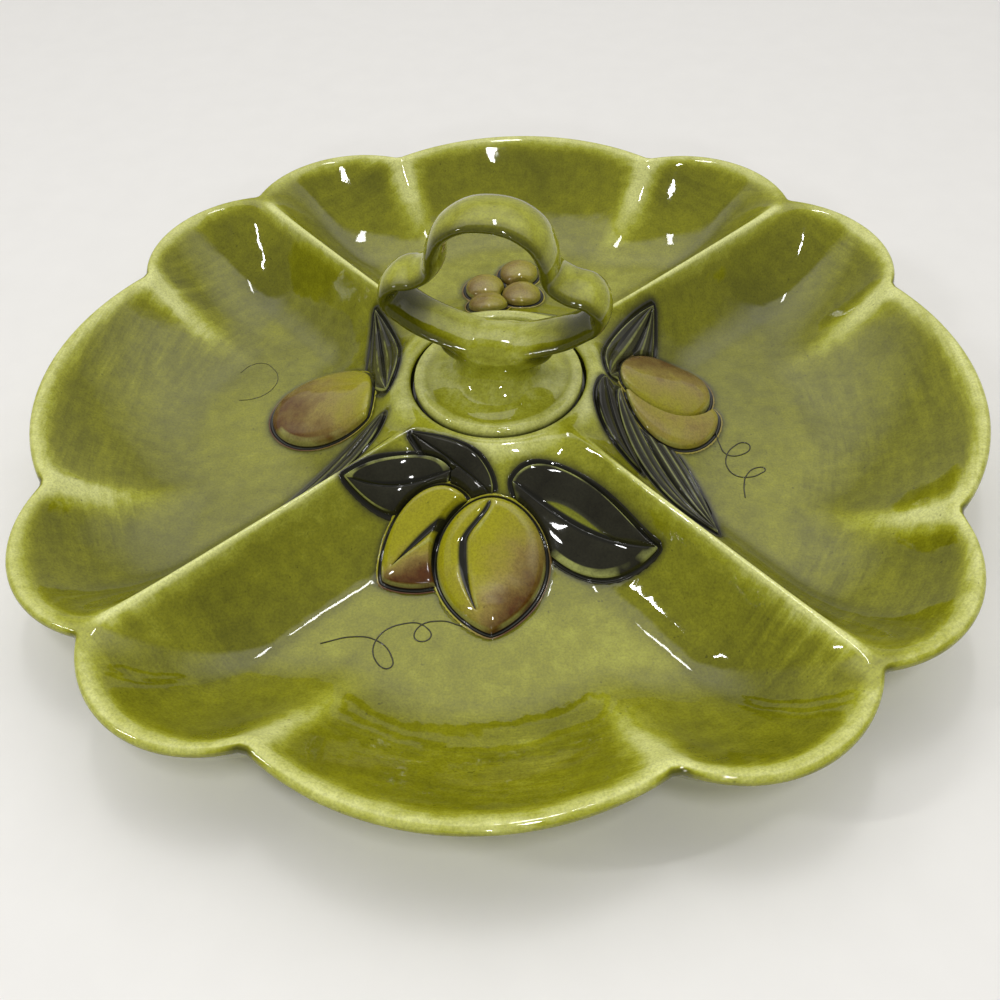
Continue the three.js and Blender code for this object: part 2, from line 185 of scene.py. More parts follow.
world = bpy.data.worlds.new("studio")
bpy.context.scene.world = world
world.use_nodes = True
tree = world.node_tree
direction = add_node(tree, "ShaderNodeTexCoord").outputs["Generated"]
axes = add_node(tree, "ShaderNodeSeparateXYZ", {0: direction})
upward = axes.outputs["Z"]
backward = maths(tree, "SUBTRACT", axes.outputs["Y"], maths(tree, "MULTIPLY", upward, WALL_LEAN))
edge = {"Value": backward, "From Min": WALL_EDGE[0], "From Max": WALL_EDGE[1]}
wall = add_node(tree, "ShaderNodeMapRange", edge, interpolation_type="SMOOTHSTEP").outputs[0]
wall_light = remap(tree, upward, *WALL_RISE, WALL_LOW_LIGHT, WALL_HIGH_LIGHT)
room_light = remap(tree, upward, *ROOM_RISE, ROOM_LIGHT, CEILING_LIGHT)
behind = maths(tree, "MULTIPLY", wall, maths(tree, "SUBTRACT", wall_light, room_light))
glow = maths(tree, "ADD", room_light, behind)
seen = add_node(tree, "ShaderNodeLightPath").outputs["Is Camera Ray"]
strength = maths(tree, "MAXIMUM", glow, maths(tree, "MULTIPLY", seen, VISIBLE_LIGHT))
background = tree.nodes["Background"]
background.inputs["Color"].default_value = WARM_WHITE
tree.links.new(strength, background.inputs["Strength"])


def add_window(name, azimuth, elevation, width, height, power):
    """An upright window light; azimuth 0 is straight in front of the dish, positive to its right."""
    flat = WINDOW_DISTANCE * math.cos(elevation * DEG)
    up = WINDOW_DISTANCE * math.sin(elevation * DEG)
    place = (flat * math.sin(azimuth * DEG), -flat * math.cos(azimuth * DEG), up)
    pick()
    bpy.ops.object.light_add(type="AREA", location=place)
    lamp = bpy.context.object
    lamp.name = name
    lamp.rotation_euler = (math.pi / 2 - elevation * DEG, 0, azimuth * DEG)
    lamp.data.shape = "RECTANGLE"
    lamp.data.size = width
    lamp.data.size_y = height
    lamp.data.energy = power
    return lamp


add_window("window_front", azimuth=19, elevation=64, width=0.05, height=0.20, power=2.8)
add_window("window_left", azimuth=-70, elevation=43, width=0.04, height=0.24, power=2.2)
add_window("window_above", azimuth=182, elevation=75, width=0.08, height=0.28, power=1.6)
add_window("window_low", azimuth=4, elevation=28, width=0.06, height=0.06, power=1.8)

# %% [markdown]
# ## The tray's form
# The tray came out of a plaster mould, so its shape is best described as a height over a plan. The rim
# is made of round lobes, the walls are coves, and where the coves of two compartments meet back to
# back they leave a rib. The sizes and curves are the CAD part's, with a finer lip and rib, and with
# flutes between the lobes that soften towards the floor.

# %% Tray sizes
QUARTER = 90 * DEG
MIDDLE_LOBE = (173, 95)
CORNER_LOBE = (178, 44.5)
CORNER_ANGLE = 34 * DEG
NOTCH_SOFTNESS = 2.5
FLUTE_SOFTNESS = 16
RIM_HEIGHT = 35
LIP_WIDTH = 4.2
WALL = 7
BASE_GRIND = 1.2
RIM_COVE = 53
RIM_SHOULDER = 0.92
RIB_COVE = 28
RIB_SHOULDER = 0.95
HUB_COVE = 52
HUB_SHOULDER = 0.88
WELL_RADIUS = 27
WELL_FILLET = 6
LEDGE_WIDTH = 5.3
LEDGE_DEPTH = 5
RING_WIDTH = 4.6
RING_RISE = 1.2
POCKET_WIDTH = 6
FOOT_CHAMFER = 3
SEAT_RADIUS = WELL_RADIUS + LEDGE_WIDTH
RING_CREST = SEAT_RADIUS + RING_WIDTH / 2
RING_TOP = RIM_HEIGHT + RING_RISE
LEDGE_TOP = RING_TOP - LEDGE_DEPTH
print("ring crest", RING_CREST, "ledge", LEDGE_TOP)


# %% Rim outline and height of the surface
def soft_max(a, b, softness):
    overlap = np.maximum(softness - np.abs(a - b), 0) / softness
    return np.maximum(a, b) + overlap * overlap * softness / 4


def folded(angle):
    turns = angle / QUARTER
    return np.abs(turns - np.round(turns)) * QUARTER


def lobe_reach(angle, lobe_angle, lobe):
    reach, radius = lobe
    centre = reach - radius
    aside = centre * np.sin(angle - lobe_angle)
    return centre * np.cos(angle - lobe_angle) + np.sqrt(np.maximum(radius**2 - aside**2, 0))


def rim_reach(angle, softness=NOTCH_SOFTNESS):
    fold = folded(angle)
    corner = lobe_reach(fold, CORNER_ANGLE, CORNER_LOBE)
    next_corner = lobe_reach(fold, QUARTER - CORNER_ANGLE, CORNER_LOBE)
    lobes = soft_max(lobe_reach(fold, 0, MIDDLE_LOBE), corner, softness)
    return soft_max(lobes, next_corner, NOTCH_SOFTNESS)


def cove(share, shoulder):
    t = np.clip(share, 0, 1)
    return np.where(t < shoulder, t * t / shoulder, 1 - (1 - t) ** 2 / (1 - shoulder))


def top_height(radius, angle):
    inward = np.clip((rim_reach(angle) - radius) / RIM_COVE, 0, 1)
    crest = rim_reach(angle, NOTCH_SOFTNESS + FLUTE_SOFTNESS * inward) - LIP_WIDTH / 2
    rim = cove(1 - (crest - radius) / RIM_COVE, RIM_SHOULDER)
    rib = cove(1 - radius * np.sin(QUARTER / 2 - folded(angle)) / RIB_COVE, RIB_SHOULDER)
    hub = cove(1 - (radius - RING_CREST) / HUB_COVE, HUB_SHOULDER)
    return WALL + (RIM_HEIGHT - WALL) * (1 - (1 - rim) * (1 - rib) * (1 - hub)) + RING_RISE * hub


def under_height(radius, angle, step=0.5):
    outward = top_height(radius + step, angle) - top_height(radius - step, angle)
    swing = step / radius
    sideways = top_height(radius, angle + swing) - top_height(radius, angle - swing)
    steep = np.sqrt(1 + (outward / (2 * step)) ** 2 + (sideways / (2 * step)) ** 2)
    return np.maximum(top_height(radius, angle) - WALL * steep - BASE_GRIND, 0)


print("floor height between ribs", float(top_height(np.array(100.0), np.array(0.0))))

# %% [markdown]
# ## A blank to press
# A potter presses a flat pat of clay into the mould. Here a line of points is extruded outwards and
# back, and spun round the middle into a flat two-sided pat with a fine, even grid. Moving its points
# onto the mould's surface then gives the form, with rows that follow the rim and columns that follow
# the ribs. One pat serves for the tray and another for all the sprigs.

# %% Pat of clay
PAT_STEP = 0.001
SEAM = 1e-6


def extrude_to(step_out, step_down=0.0):
    bpy.ops.mesh.extrude_vertices_move(TRANSFORM_OT_translate={"value": (step_out, 0, step_down)})


def start_point():
    """A mesh of one point at the middle of the dish, open for editing."""
    pick()
    bpy.ops.mesh.primitive_plane_add(size=PAT_STEP)
    bpy.ops.object.mode_set(mode="EDIT")
    bpy.ops.mesh.select_all(action="SELECT")
    bpy.ops.mesh.merge(type="CENTER")
    return bpy.context.object


def spin_round(steps):
    """Spins the drawn line once round the middle and closes the seam."""
    bpy.ops.mesh.select_all(action="SELECT")
    bpy.ops.mesh.spin(steps=steps, angle=2 * math.pi, center=(0, 0, 0), axis=(0, 0, 1))
    bpy.ops.mesh.select_all(action="SELECT")
    bpy.ops.mesh.remove_doubles(threshold=SEAM)
    bpy.ops.mesh.normals_make_consistent(inside=False)
    bpy.ops.object.mode_set(mode="OBJECT")


def throw_pat(name, top_rows, under_rows, columns):
    pat = start_point()
    pat.name = name
    for _ in range(top_rows):
        extrude_to(PAT_STEP)
    extrude_to((under_rows - top_rows) * PAT_STEP, -PAT_STEP)
    for _ in range(under_rows):
        extrude_to(-PAT_STEP)
    spin_round(columns)
    bpy.ops.object.shade_smooth()
    return pat


def read_points(piece):
    points = np.zeros(len(piece.data.vertices) * 3, np.float32)
    piece.data.vertices.foreach_get("co", points)
    return points.reshape(-1, 3).astype(float)


def write_points(piece, points):
    piece.data.vertices.foreach_set("co", points.astype(np.float32).ravel())
    piece.data.update()


def pat_cells(pat, columns):
    """Row, column and side of each point of a pat."""
    points = read_points(pat)
    row = np.rint(np.hypot(points[:, 0], points[:, 1]) / PAT_STEP).astype(int)
    turn = np.arctan2(points[:, 1], points[:, 0]) / (2 * math.pi)
    column = np.rint(turn * columns).astype(int) % columns
    return row, column, points[:, 2] < -PAT_STEP / 2


def press(pat, columns, top, under):
    """Moves a pat's points onto rows of points in millimetres, from the middle outwards."""
    row, column, below = pat_cells(pat, columns)
    top_points = np.stack(top)[np.minimum(row, len(top) - 1), column]
    under_points = np.stack(under)[np.minimum(row, len(under) - 1), column]
    write_points(pat, np.where(below[:, None], under_points, top_points) * MM)


def store(piece, name, values):
    layer = piece.data.attributes.new(name, "FLOAT", "POINT")
    layer.data.foreach_set("value", np.asarray(values, np.float32))


print("pat tools ready")

# %% [markdown]
# ## Tray
# The rows run from the middle of the dip well up its wall, over the ledge and the ring, down the hub's
# slope, across the floor, up the rim wall and over the rounded lip, then back underneath. The sides of
# the well and the ring get their own rows, because a height over a plan can't stand upright.

# %% Rows of the tray
COLUMNS = 480
SLOPE_ROWS = 66
WALL_ROWS = 36
LIP_ROWS = 11
UNDER_ROWS = 20
WELL_FLOOR_RADII = (0, 6, 12, 17)
WELL_WALL_HEIGHTS = (17, 21, 25, 28)
LEDGE_RADII = (29.5, 31)
LEDGE_ROUND = 1
SEAT_ROUND = 0.6
SEAT_STEPS = (1.6, 2.6)
RING_ROUND = 1.6
BASE_RADII = (0, 12, 24)
LIP_CURL = -65
RIB_CROWDING = 0.45
EVEN_ANGLES = np.arange(COLUMNS) * 2 * math.pi / COLUMNS
ANGLES = EVEN_ANGLES + RIB_CROWDING / 4 * np.sin(4 * EVEN_ANGLES)
CREST = rim_reach(ANGLES) - LIP_WIDTH / 2
FOOT = CREST - RIM_COVE


def ring(radius, height):
    radius = np.broadcast_to(radius, ANGLES.shape)
    height = np.broadcast_to(height, ANGLES.shape)
    return np.stack([radius * np.cos(ANGLES), radius * np.sin(ANGLES), height], axis=1)


def arc(centre, size, start, end, count):
    """Rings along an arc of a section; size is its half width and half height."""
    leans = np.linspace(start, end, count) * DEG
    return [ring(centre[0] + size[0] * math.cos(a), centre[1] + size[1] * math.sin(a)) for a in leans]


def wall_radius(share):
    return FOOT + share * RIM_COVE


def floor_radius(share):
    return RING_CREST + share * (FOOT - RING_CREST)


def well_rows():
    rows = [ring(r, WALL) for r in WELL_FLOOR_RADII]
    rows += arc((WELL_RADIUS - WELL_FILLET, WALL + WELL_FILLET), (WELL_FILLET, WELL_FILLET), -90, 0, 7)
    rows += [ring(WELL_RADIUS, z) for z in WELL_WALL_HEIGHTS]
    rows += arc((WELL_RADIUS + LEDGE_ROUND, LEDGE_TOP - LEDGE_ROUND), (LEDGE_ROUND, LEDGE_ROUND), 180, 90, 4)
    rows += [ring(r, LEDGE_TOP) for r in LEDGE_RADII]
    rows += arc((SEAT_RADIUS - SEAT_ROUND, LEDGE_TOP + SEAT_ROUND), (SEAT_ROUND, SEAT_ROUND), -90, 0, 3)
    rows += [ring(SEAT_RADIUS, LEDGE_TOP + step) for step in SEAT_STEPS]
    rows += arc((RING_CREST, RING_TOP - RING_ROUND), (RING_WIDTH / 2, RING_ROUND), 180, 90, 7)
    return rows


def surface_rows(radius_at, count):
    """Rings on the mould's surface; radius_at says how far out a share of the way is."""
    radii = [radius_at(share) for share in np.linspace(0, 1, count + 1)[1:]]
    return [ring(r, top_height(r, ANGLES)) for r in radii]


def lip_rows(count):
    half = LIP_WIDTH / 2
    leans = np.linspace(90, LIP_CURL, count + 1)[1:] * DEG
    return [ring(CREST + half * math.cos(a), RIM_HEIGHT - half + half * math.sin(a)) for a in leans]


def under_rows():
    outside = WELL_RADIUS + WALL
    pocket = under_height(np.full(COLUMNS, outside + POCKET_WIDTH), ANGLES)
    rows = [ring(r, 0) for r in (*BASE_RADII, outside - FOOT_CHAMFER)]
    rows.append(ring(outside, FOOT_CHAMFER))
    rows += [ring(outside, FOOT_CHAMFER + (pocket - FOOT_CHAMFER) * share) for share in (0.5, 1)]
    for share in np.linspace(0, 1, UNDER_ROWS):
        radius = outside + POCKET_WIDTH + share * (FOOT - outside - POCKET_WIDTH)
        rows.append(ring(radius, under_height(radius, ANGLES)))
    for share in np.linspace(0.05, 0.95, UNDER_ROWS):
        rows.append(ring(wall_radius(share), under_height(wall_radius(share), ANGLES)))
    return rows


tray_top = well_rows() + surface_rows(floor_radius, SLOPE_ROWS)
tray_top += surface_rows(wall_radius, WALL_ROWS) + lip_rows(LIP_ROWS)
tray_under = under_rows()
print("rows on top", len(tray_top), "and underneath", len(tray_under))

# %% Press the tray
tray = throw_pat("dish_tray", len(tray_top) - 1, len(tray_under) - 1, COLUMNS)
press(tray, COLUMNS, tray_top, tray_under)
print("tray faces", len(tray.data.polygons))

# %% [markdown]
# ## How the glaze flows
# A thick glaze runs off edges and gathers in hollows while it melts. Comparing each point with a
# smoothed copy of the surface tells how far it stands proud or lies deep, and that number, kept on the
# mesh, later turns the green pale on rims, ribs and flutes and dark in the folds. The two side
# compartments are painted darker, as painted shade. The glaze ran off the ring and off edges that face
# upwards, and a little off the rim's walls and lip.


# %% Flow of the glaze
def smoothed(points, ends, passes):
    count = np.bincount(ends.ravel(), minlength=len(points))[:, None]
    for _ in range(passes):
        total = np.zeros_like(points)
        for axis in range(3):
            total[:, axis] = np.bincount(ends[:, 0], points[ends[:, 1], axis], len(points))
            total[:, axis] += np.bincount(ends[:, 1], points[ends[:, 0], axis], len(points))
        points = 0.5 * points + 0.5 * total / count
    return points


def glaze_flow(piece, passes, full_thin):
    """How proud (up to 1) or deep (down to -1) each point lies, and which way it faces."""
    ends = np.zeros(len(piece.data.edges) * 2, np.int32)
    piece.data.edges.foreach_get("vertices", ends)
    normals = np.zeros(len(piece.data.vertices) * 3, np.float32)
    piece.data.vertices.foreach_get("normal", normals)
    normals = normals.reshape(-1, 3)
    points = read_points(piece)
    proud = np.sum((points - smoothed(points, ends.reshape(-1, 2), passes)) * normals, axis=1)
    return np.clip(proud / (full_thin * MM), -1, 1), normals


def fade(value, low, high):
    share = np.clip((value - low) / (high - low), 0, 1)
    return share * share * (3 - 2 * share)


print("flow tools ready")

# %% Flow on the tray
EDGE_PASSES, EDGE_FULL = 14, 0.62
FLUTE_PASSES, FLUTE_FULL = 70, 2.2
FLUTE_THINNING = 0.75
SIDE_PAINTED_SHADE = 0.18
RING_THINNING = 0.14
LIP_THINNING = 0.75
WALL_THINNING = 0.1
FACING_UP = (0.05, 0.75)
LIP_FADE = (3, 9)
FLUTE_FADE = (4, 12)
WALL_FADE = (122, 150)
SIDE_FADE = (0, 35)
SIDE_END = (125, 160)
RING_FADE = 8
BRUSHED_FLOOR = 0.25
BRUSHED_FADE = (105, 140)
GROUND_FOOT = 0.3

tray_points = read_points(tray) / MM
tray_out = np.hypot(tray_points[:, 0], tray_points[:, 1])
flow, normals = glaze_flow(tray, EDGE_PASSES, EDGE_FULL)
to_lip = rim_reach(np.arctan2(tray_points[:, 1], tray_points[:, 0])) - tray_out
thinned = LIP_THINNING + (1 - LIP_THINNING) * fade(to_lip, *LIP_FADE)
flow = np.where(flow > 0, flow * fade(normals[:, 2], *FACING_UP) * thinned, flow)
flutes, normals = glaze_flow(tray, FLUTE_PASSES, FLUTE_FULL)
flutes = FLUTE_THINNING * np.maximum(flutes, 0) * fade(to_lip, *FLUTE_FADE)
flow = np.maximum(flow, flutes + np.minimum(flow, 0))
# Painted shade: the two side compartments are made darker than the front and back ones.
to_side = fade(np.abs(tray_points[:, 0]) - np.abs(tray_points[:, 1]), *SIDE_FADE)
flow -= SIDE_PAINTED_SHADE * to_side * (1 - fade(tray_out, *SIDE_END))
flow += WALL_THINNING * fade(tray_out, *WALL_FADE) * fade(to_lip, LIP_FADE[0], FLUTE_FADE[1])
flow += RING_THINNING * np.exp(-(((tray_out - RING_CREST - 2) / RING_FADE) ** 2))
store(tray, "flow", flow)
store(tray, "brushed", BRUSHED_FLOOR + fade(tray_out, *BRUSHED_FADE))
store(tray, "bare", (tray_points[:, 2] < GROUND_FOOT) * 1.0)
print("glaze flow from", flow.min(), "to", flow.max())

# %% [markdown]
# ## Green glaze
# The olive green is one colour ramp over the flow: dark where it pools, yellow-green over the body and
# pale where it thins. Mottling, brush streaks that run round the dish, a fine dark speckle and a
# slightly uneven gloss keep it from looking like plastic. The ground foot underneath is bare clay.

# %% Green glaze
POOLED = (0.076, 0.078, 0.003, 1)
DEEP = (0.145, 0.147, 0.005, 1)
BODY = (0.228, 0.232, 0.008, 1)
THINNED = (0.352, 0.366, 0.030, 1)
THIN = (0.650, 0.672, 0.240, 1)
# Near black, for the ink marks and for painted shade in the lid's seat.
INK_AND_SHADE = (0.010, 0.010, 0.006, 1)
BARE_CLAY = (0.56, 0.43, 0.29, 1)
RAMP_STOPS = ((0.0, POOLED), (0.32, DEEP), (0.5, BODY), (0.66, THINNED), (0.95, THIN))
CLOUD_SCALE, CLOUD_DEPTH = 26, 0.2
DAPPLE_SCALE, DAPPLE_DEPTH = 210, 0.16
STREAKS_ROUND, STREAKS_OUT, STREAK_DEPTH = 4.0, 300, 0.22
PATCH_SCALE = 14
GRAIN_SCALE = 1300
SPOT_SCALE = 520
SMUDGE_SCALE = 45
RIPPLE_SCALE = 70
PITTING_SCALE, PITTING_HEIGHT = 900, 0.02
GREEN_RIPPLE = 0.35


def round_the_dish(tree, where, round_scale, out_scale):
    """Coordinates that stretch a pattern round the dish, like brush strokes."""
    axes = add_node(tree, "ShaderNodeSeparateXYZ", {0: where})
    x, y = axes.outputs["X"], axes.outputs["Y"]
    flat = add_node(tree, "ShaderNodeCombineXYZ", {"X": x, "Y": y}).outputs[0]
    out = add_node(tree, "ShaderNodeVectorMath", {0: flat}, operation="LENGTH").outputs["Value"]
    unit = add_node(tree, "ShaderNodeVectorMath", {0: flat}, operation="NORMALIZE").outputs["Vector"]
    parts = add_node(tree, "ShaderNodeSeparateXYZ", {0: unit})
    values = {
        "X": maths(tree, "MULTIPLY", parts.outputs["X"], round_scale),
        "Y": maths(tree, "MULTIPLY", parts.outputs["Y"], round_scale),
        "Z": maths(tree, "MULTIPLY", out, out_scale),
    }
    return add_node(tree, "ShaderNodeCombineXYZ", values).outputs[0]


def glaze_ramp(tree, flow):
    ramp = add_node(tree, "ShaderNodeValToRGB", {"Fac": remap(tree, flow, -1, 1)})
    elements = ramp.color_ramp.elements
    elements[0].position, elements[0].color = RAMP_STOPS[0]
    elements[1].position, elements[1].color = RAMP_STOPS[-1]
    for position, colour in RAMP_STOPS[1:-1]:
        element = elements.new(position)
        element.color = colour
    return ramp.outputs["Color"]


def gloss(tree, shader, where, bump_height):
    """Slightly uneven gloss and a soft ripple, as on melted glass."""
    smudge = noise(tree, where, SMUDGE_SCALE, 4, 0.6)
    tree.links.new(remap(tree, smudge, 0.3, 0.7, 0.02, 0.06), shader.inputs["Roughness"])
    ripple = noise(tree, where, RIPPLE_SCALE, 2, 0.4)
    pitting = noise(tree, where, PITTING_SCALE, 2, 0.5)
    height = maths(tree, "ADD", ripple, maths(tree, "MULTIPLY", pitting, PITTING_HEIGHT))
    relief = {"Height": height, "Distance": bump_height * MM, "Strength": 1.0}
    bump = add_node(tree, "ShaderNodeBump", relief)
    tree.links.new(bump.outputs["Normal"], shader.inputs["Normal"])


def speckled(tree, colour, where):
    grain = noise(tree, where, GRAIN_SCALE, 3, 0.6)
    fine = remap(tree, grain, 0.32, 0.60, 0.79, 1.09)
    spots = noise(tree, where, SPOT_SCALE, 1, 0.5)
    coarse = remap(tree, spots, 0.20, 0.25, 0.6, 1.0)
    dark = maths(tree, "MULTIPLY", fine, coarse)
    shade = {"Red": dark, "Green": dark, "Blue": dark}
    grey = add_node(tree, "ShaderNodeCombineColor", shade).outputs[0]
    return mix_colour(tree, 1.0, colour, grey, "MULTIPLY")


def green_glaze():
    material, tree, shader = new_material("green_glaze")
    where = add_node(tree, "ShaderNodeTexCoord").outputs["Object"]
    flow = attribute(tree, "flow")
    clouds = noise(tree, where, CLOUD_SCALE, 5, 0.6)
    clouds = remap(tree, clouds, 0.25, 0.75, -CLOUD_DEPTH, CLOUD_DEPTH)
    dapples = noise(tree, where, DAPPLE_SCALE, 5, 0.7)
    dapples = remap(tree, dapples, 0.25, 0.75, -DAPPLE_DEPTH, DAPPLE_DEPTH)
    mottle = maths(tree, "ADD", clouds, dapples)
    streaks = noise(tree, round_the_dish(tree, where, STREAKS_ROUND, STREAKS_OUT), 1.0, 5, 0.7)
    streaks = remap(tree, streaks, 0.3, 0.7, -STREAK_DEPTH, STREAK_DEPTH)
    patchy = remap(tree, noise(tree, where, PATCH_SCALE, 2), 0.42, 0.62)
    strokes = maths(tree, "MULTIPLY", attribute(tree, "brushed"), patchy)
    brushed = maths(tree, "MULTIPLY", streaks, strokes)
    depth = maths(tree, "ADD", maths(tree, "ADD", flow, mottle), brushed)
    colour = speckled(tree, glaze_ramp(tree, depth), where)
    # Dark band round the sprigs, and painted shade in the lid's seat and under the lid's bead.
    colour = mix_colour(tree, attribute(tree, "halo_and_shade"), colour, INK_AND_SHADE)
    bare = attribute(tree, "bare")
    tree.links.new(mix_colour(tree, bare, colour, BARE_CLAY), shader.inputs["Base Color"])
    gloss(tree, shader, where, GREEN_RIPPLE)
    return material


tray_glaze = green_glaze()
tray.data.materials.append(tray_glaze)
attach(tray, "tray_body")
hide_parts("tray")
print("glaze nodes", len(tray_glaze.node_tree.nodes))

# %% [markdown]
# ## Sprigs
# Fruit and leaves are small pads of clay on the hub's slopes. Each one starts from the same round pat.
# Its plan is an oval with a root and a tip, pinched to a point or bent to one side, and its top is a
# dome with a crease for a fruit, or two pillows with a midrib for a leaf. Around it the mould leaves a
# groove that fills with dark glaze, so a thin black skirt lies round every pad.

# %% Sprig plan
FRONT, RIGHT, BACK, LEFT = -QUARTER, 0.0, QUARTER, 2 * QUARTER
SPRIG_COLUMNS = 180
SPRIG_RINGS = 54
SPRIG_EDGE = 1.2
SPRIG_ANGLES = np.arange(SPRIG_COLUMNS) * 2 * math.pi / SPRIG_COLUMNS
SKIRT = (
    {"spread": 0.15, "lift": -0.1, "ink": 1.0, "edge": 0.0},
    {"spread": 0.45, "lift": -0.4, "ink": 1.0, "edge": 0.0},
    {"spread": 1.0, "lift": -0.2, "ink": 1.0, "edge": 0.0},
    {"spread": 1.35, "lift": 0.06, "ink": 0.55, "edge": 0.2},
    {"spread": 1.7, "lift": 0.12, "ink": 0.0, "edge": 0.35},
    {"spread": 2.3, "lift": -0.5, "ink": 0.0, "edge": 0.1},
)
TRENCH = 1.2
SINK = -1.6
SPRIG_BED = -2.3


def plan_width(sprig, s, t):
    """Width of the plan at s, from -1 at the root to 1 at the tip, against an oval's."""
    root = np.where(t < 0, sprig["root_low"], sprig["root"])
    tip = np.where(t < 0, sprig["tip_low"], sprig["tip"])
    peak = (root - tip) / (root + tip + 1)
    full = (1 + peak) ** root * (1 - peak) ** tip
    return np.maximum(1 + s, 1e-6) ** root * np.maximum(1 - s, 1e-6) ** tip / full


def to_plan(sprig, s, t):
    """Place on the dish of a point of the sprig's unit disc."""
    along = sprig["length"] / 2 * s
    across = sprig["width"] / 2 * t * plan_width(sprig, s, t) + sprig["bend"] * (1 - s * s)
    c, d = math.cos(sprig["turn"] * DEG), math.sin(sprig["turn"] * DEG)
    out = sprig["out"] + along * c - across * d
    side = sprig["side"] + along * d + across * c
    c, d = math.cos(sprig["facing"]), math.sin(sprig["facing"])
    return np.stack([out * c - side * d, out * d + side * c], axis=-1)


def from_plan(sprig, place):
    """Unit-disc coordinates of places on the dish, the other way round."""
    c, d = math.cos(sprig["facing"]), math.sin(sprig["facing"])
    out = place[..., 0] * c + place[..., 1] * d - sprig["out"]
    side = place[..., 1] * c - place[..., 0] * d - sprig["side"]
    c, d = math.cos(sprig["turn"] * DEG), math.sin(sprig["turn"] * DEG)
    s = (out * c + side * d) / (sprig["length"] / 2)
    inside = np.clip(s, -0.999, 0.999)
    across = side * c - out * d - sprig["bend"] * (1 - inside**2)
    t = across / (sprig["width"] / 2 * plan_width(sprig, inside, across))
    return s, t


def outline(sprig, spread):
    """Edge of the sprig's plan, moved outwards by spread millimetres."""
    edge = to_plan(sprig, np.cos(SPRIG_ANGLES), np.sin(SPRIG_ANGLES))
    run = np.roll(edge, -1, axis=0) - np.roll(edge, 1, axis=0)
    away = np.stack([run[:, 1], -run[:, 0]], axis=1)
    away /= np.maximum(np.linalg.norm(away, axis=1, keepdims=True), 1e-6)
    return edge + spread * away


def on_tray(place, lift):
    height = top_height(np.hypot(place[..., 0], place[..., 1]), np.arctan2(place[..., 1], place[..., 0]))
    return np.concatenate([place, (height + lift)[..., None]], axis=-1)


print("sprig skirt", SKIRT[-1]["spread"], "mm wide")

# %% Relief of a fruit and of a leaf
CREASE_WIDTH = 0.085
CREASE_TAPER = 0.06
CREASE_DEPTH = 1.3
CREASE_SPREAD = 1.3
PALE_LINE_WIDTH = 0.05
PALE_LINE = 0.8
LEAF_EDGE = SPRIG_EDGE * 0.8
MIDRIB_WIDTH = 0.11
FURROW_DEPTH = 0.7
FURROW_PALE = 0.56


def groove(distance, width):
    return np.exp(-((distance / width) ** 2))


def across_share(s, t):
    return t / np.sqrt(np.maximum(1 - s * s, 1e-4))


def stroke(distance, width):
    """A mark that crosses a half where the stroke ends, so that the glaze can draw it crisply."""
    return np.clip(1 - np.abs(distance) / (2 * width), 0, 1)


def fruit_relief(sprig, s, t):
    """Lift above the tray, ink of the dark crease and the pale line beside it."""
    dome = np.sqrt(np.clip(1 - s * s - t * t, 0, 1))
    aside = across_share(s, t) - sprig["crease"] * fade(s, -1.0, -0.35)
    thinning = fade(s, sprig["crease_end"] - 0.8, sprig["crease_end"])
    width = CREASE_WIDTH - CREASE_TAPER * thinning
    length = fade(s, -1.02, -0.9) * (1 - fade(s, sprig["crease_end"] - 0.1, sprig["crease_end"]))
    length = length * fade(dome, 0.05, 0.25) * sprig["creased"]
    pale = groove(aside - 2.2 * width - 0.02, PALE_LINE_WIDTH) * length * PALE_LINE
    lift = SPRIG_EDGE + (sprig["height"] - SPRIG_EDGE) * dome
    lift = lift - CREASE_DEPTH * groove(aside, CREASE_SPREAD * width) * length
    return lift, stroke(aside, width) * length, pale


def leaf_relief(sprig, s, t):
    """Two pillows beside a dark midrib, or furrows along a grassy leaf."""
    q = across_share(s, t)
    body = np.clip(1 - s * s, 0, 1) ** 0.35
    pillow = np.clip(4 * np.abs(q) * (1.02 - np.abs(q)), 0, 1) ** 0.6
    lift = LEAF_EDGE + (sprig["height"] - LEAF_EDGE) * pillow * body
    if sprig["furrows"] == 0:
        return lift, stroke(q, MIDRIB_WIDTH) * (1 - fade(s, 0.85, 1.0)), np.zeros_like(q)
    furrows = 0.5 + 0.5 * np.cos(2 * math.pi * sprig["furrows"] * q)
    return lift - FURROW_DEPTH * furrows**2 * body, furrows**4, FURROW_PALE * (1 - furrows) ** 3


print("relief ready")

# %% [markdown]
# ## The sprigs' places
# Each sprig lies in one compartment. Its place is given as in the CAD part: how far out from the
# middle of the dish, how far to the side of the compartment's axis, and where its tip points. Sprigs
# that lie on top come first, and press the ones below them down.

# %% Sprig list
RIND = 0.03
LEAF_HEIGHT = 2.3
CHERRY_SIZE = 17
CHERRY_HEIGHT = 5.5


def fruit(name, facing, out, side, turn, length, width, height, **more):
    sprig = {"name": name, "facing": facing, "out": out, "side": side, "turn": turn, "kind": "fruit"}
    sprig.update(length=length, width=width, height=height, root=0.0, tip=0.12, bend=0.0)
    sprig.update(crease=0.0, crease_end=0.6, creased=1.0, rind=RIND)
    sprig.update(blush_along=0.3, blush_across=0.6, ripe=0.0)
    sprig.update(more)
    sprig.setdefault("root_low", sprig["root"])
    sprig.setdefault("tip_low", sprig["tip"])
    return sprig


def leaf(name, facing, out, side, turn, length, width, **more):
    shape = {"kind": "leaf", "root": 0.25, "tip": 0.5, "furrows": 0.0, "sliver": 0.0}
    shape.update(more)
    return fruit(name, facing, out, side, turn, length, width, LEAF_HEIGHT, **shape)


def cherry(name, out, side):
    return fruit(name, BACK, out, side, 0, CHERRY_SIZE, CHERRY_SIZE, CHERRY_HEIGHT, tip=0.0, creased=0.0,
                 ripe=0.3, blush_along=0.0, blush_across=0.12)


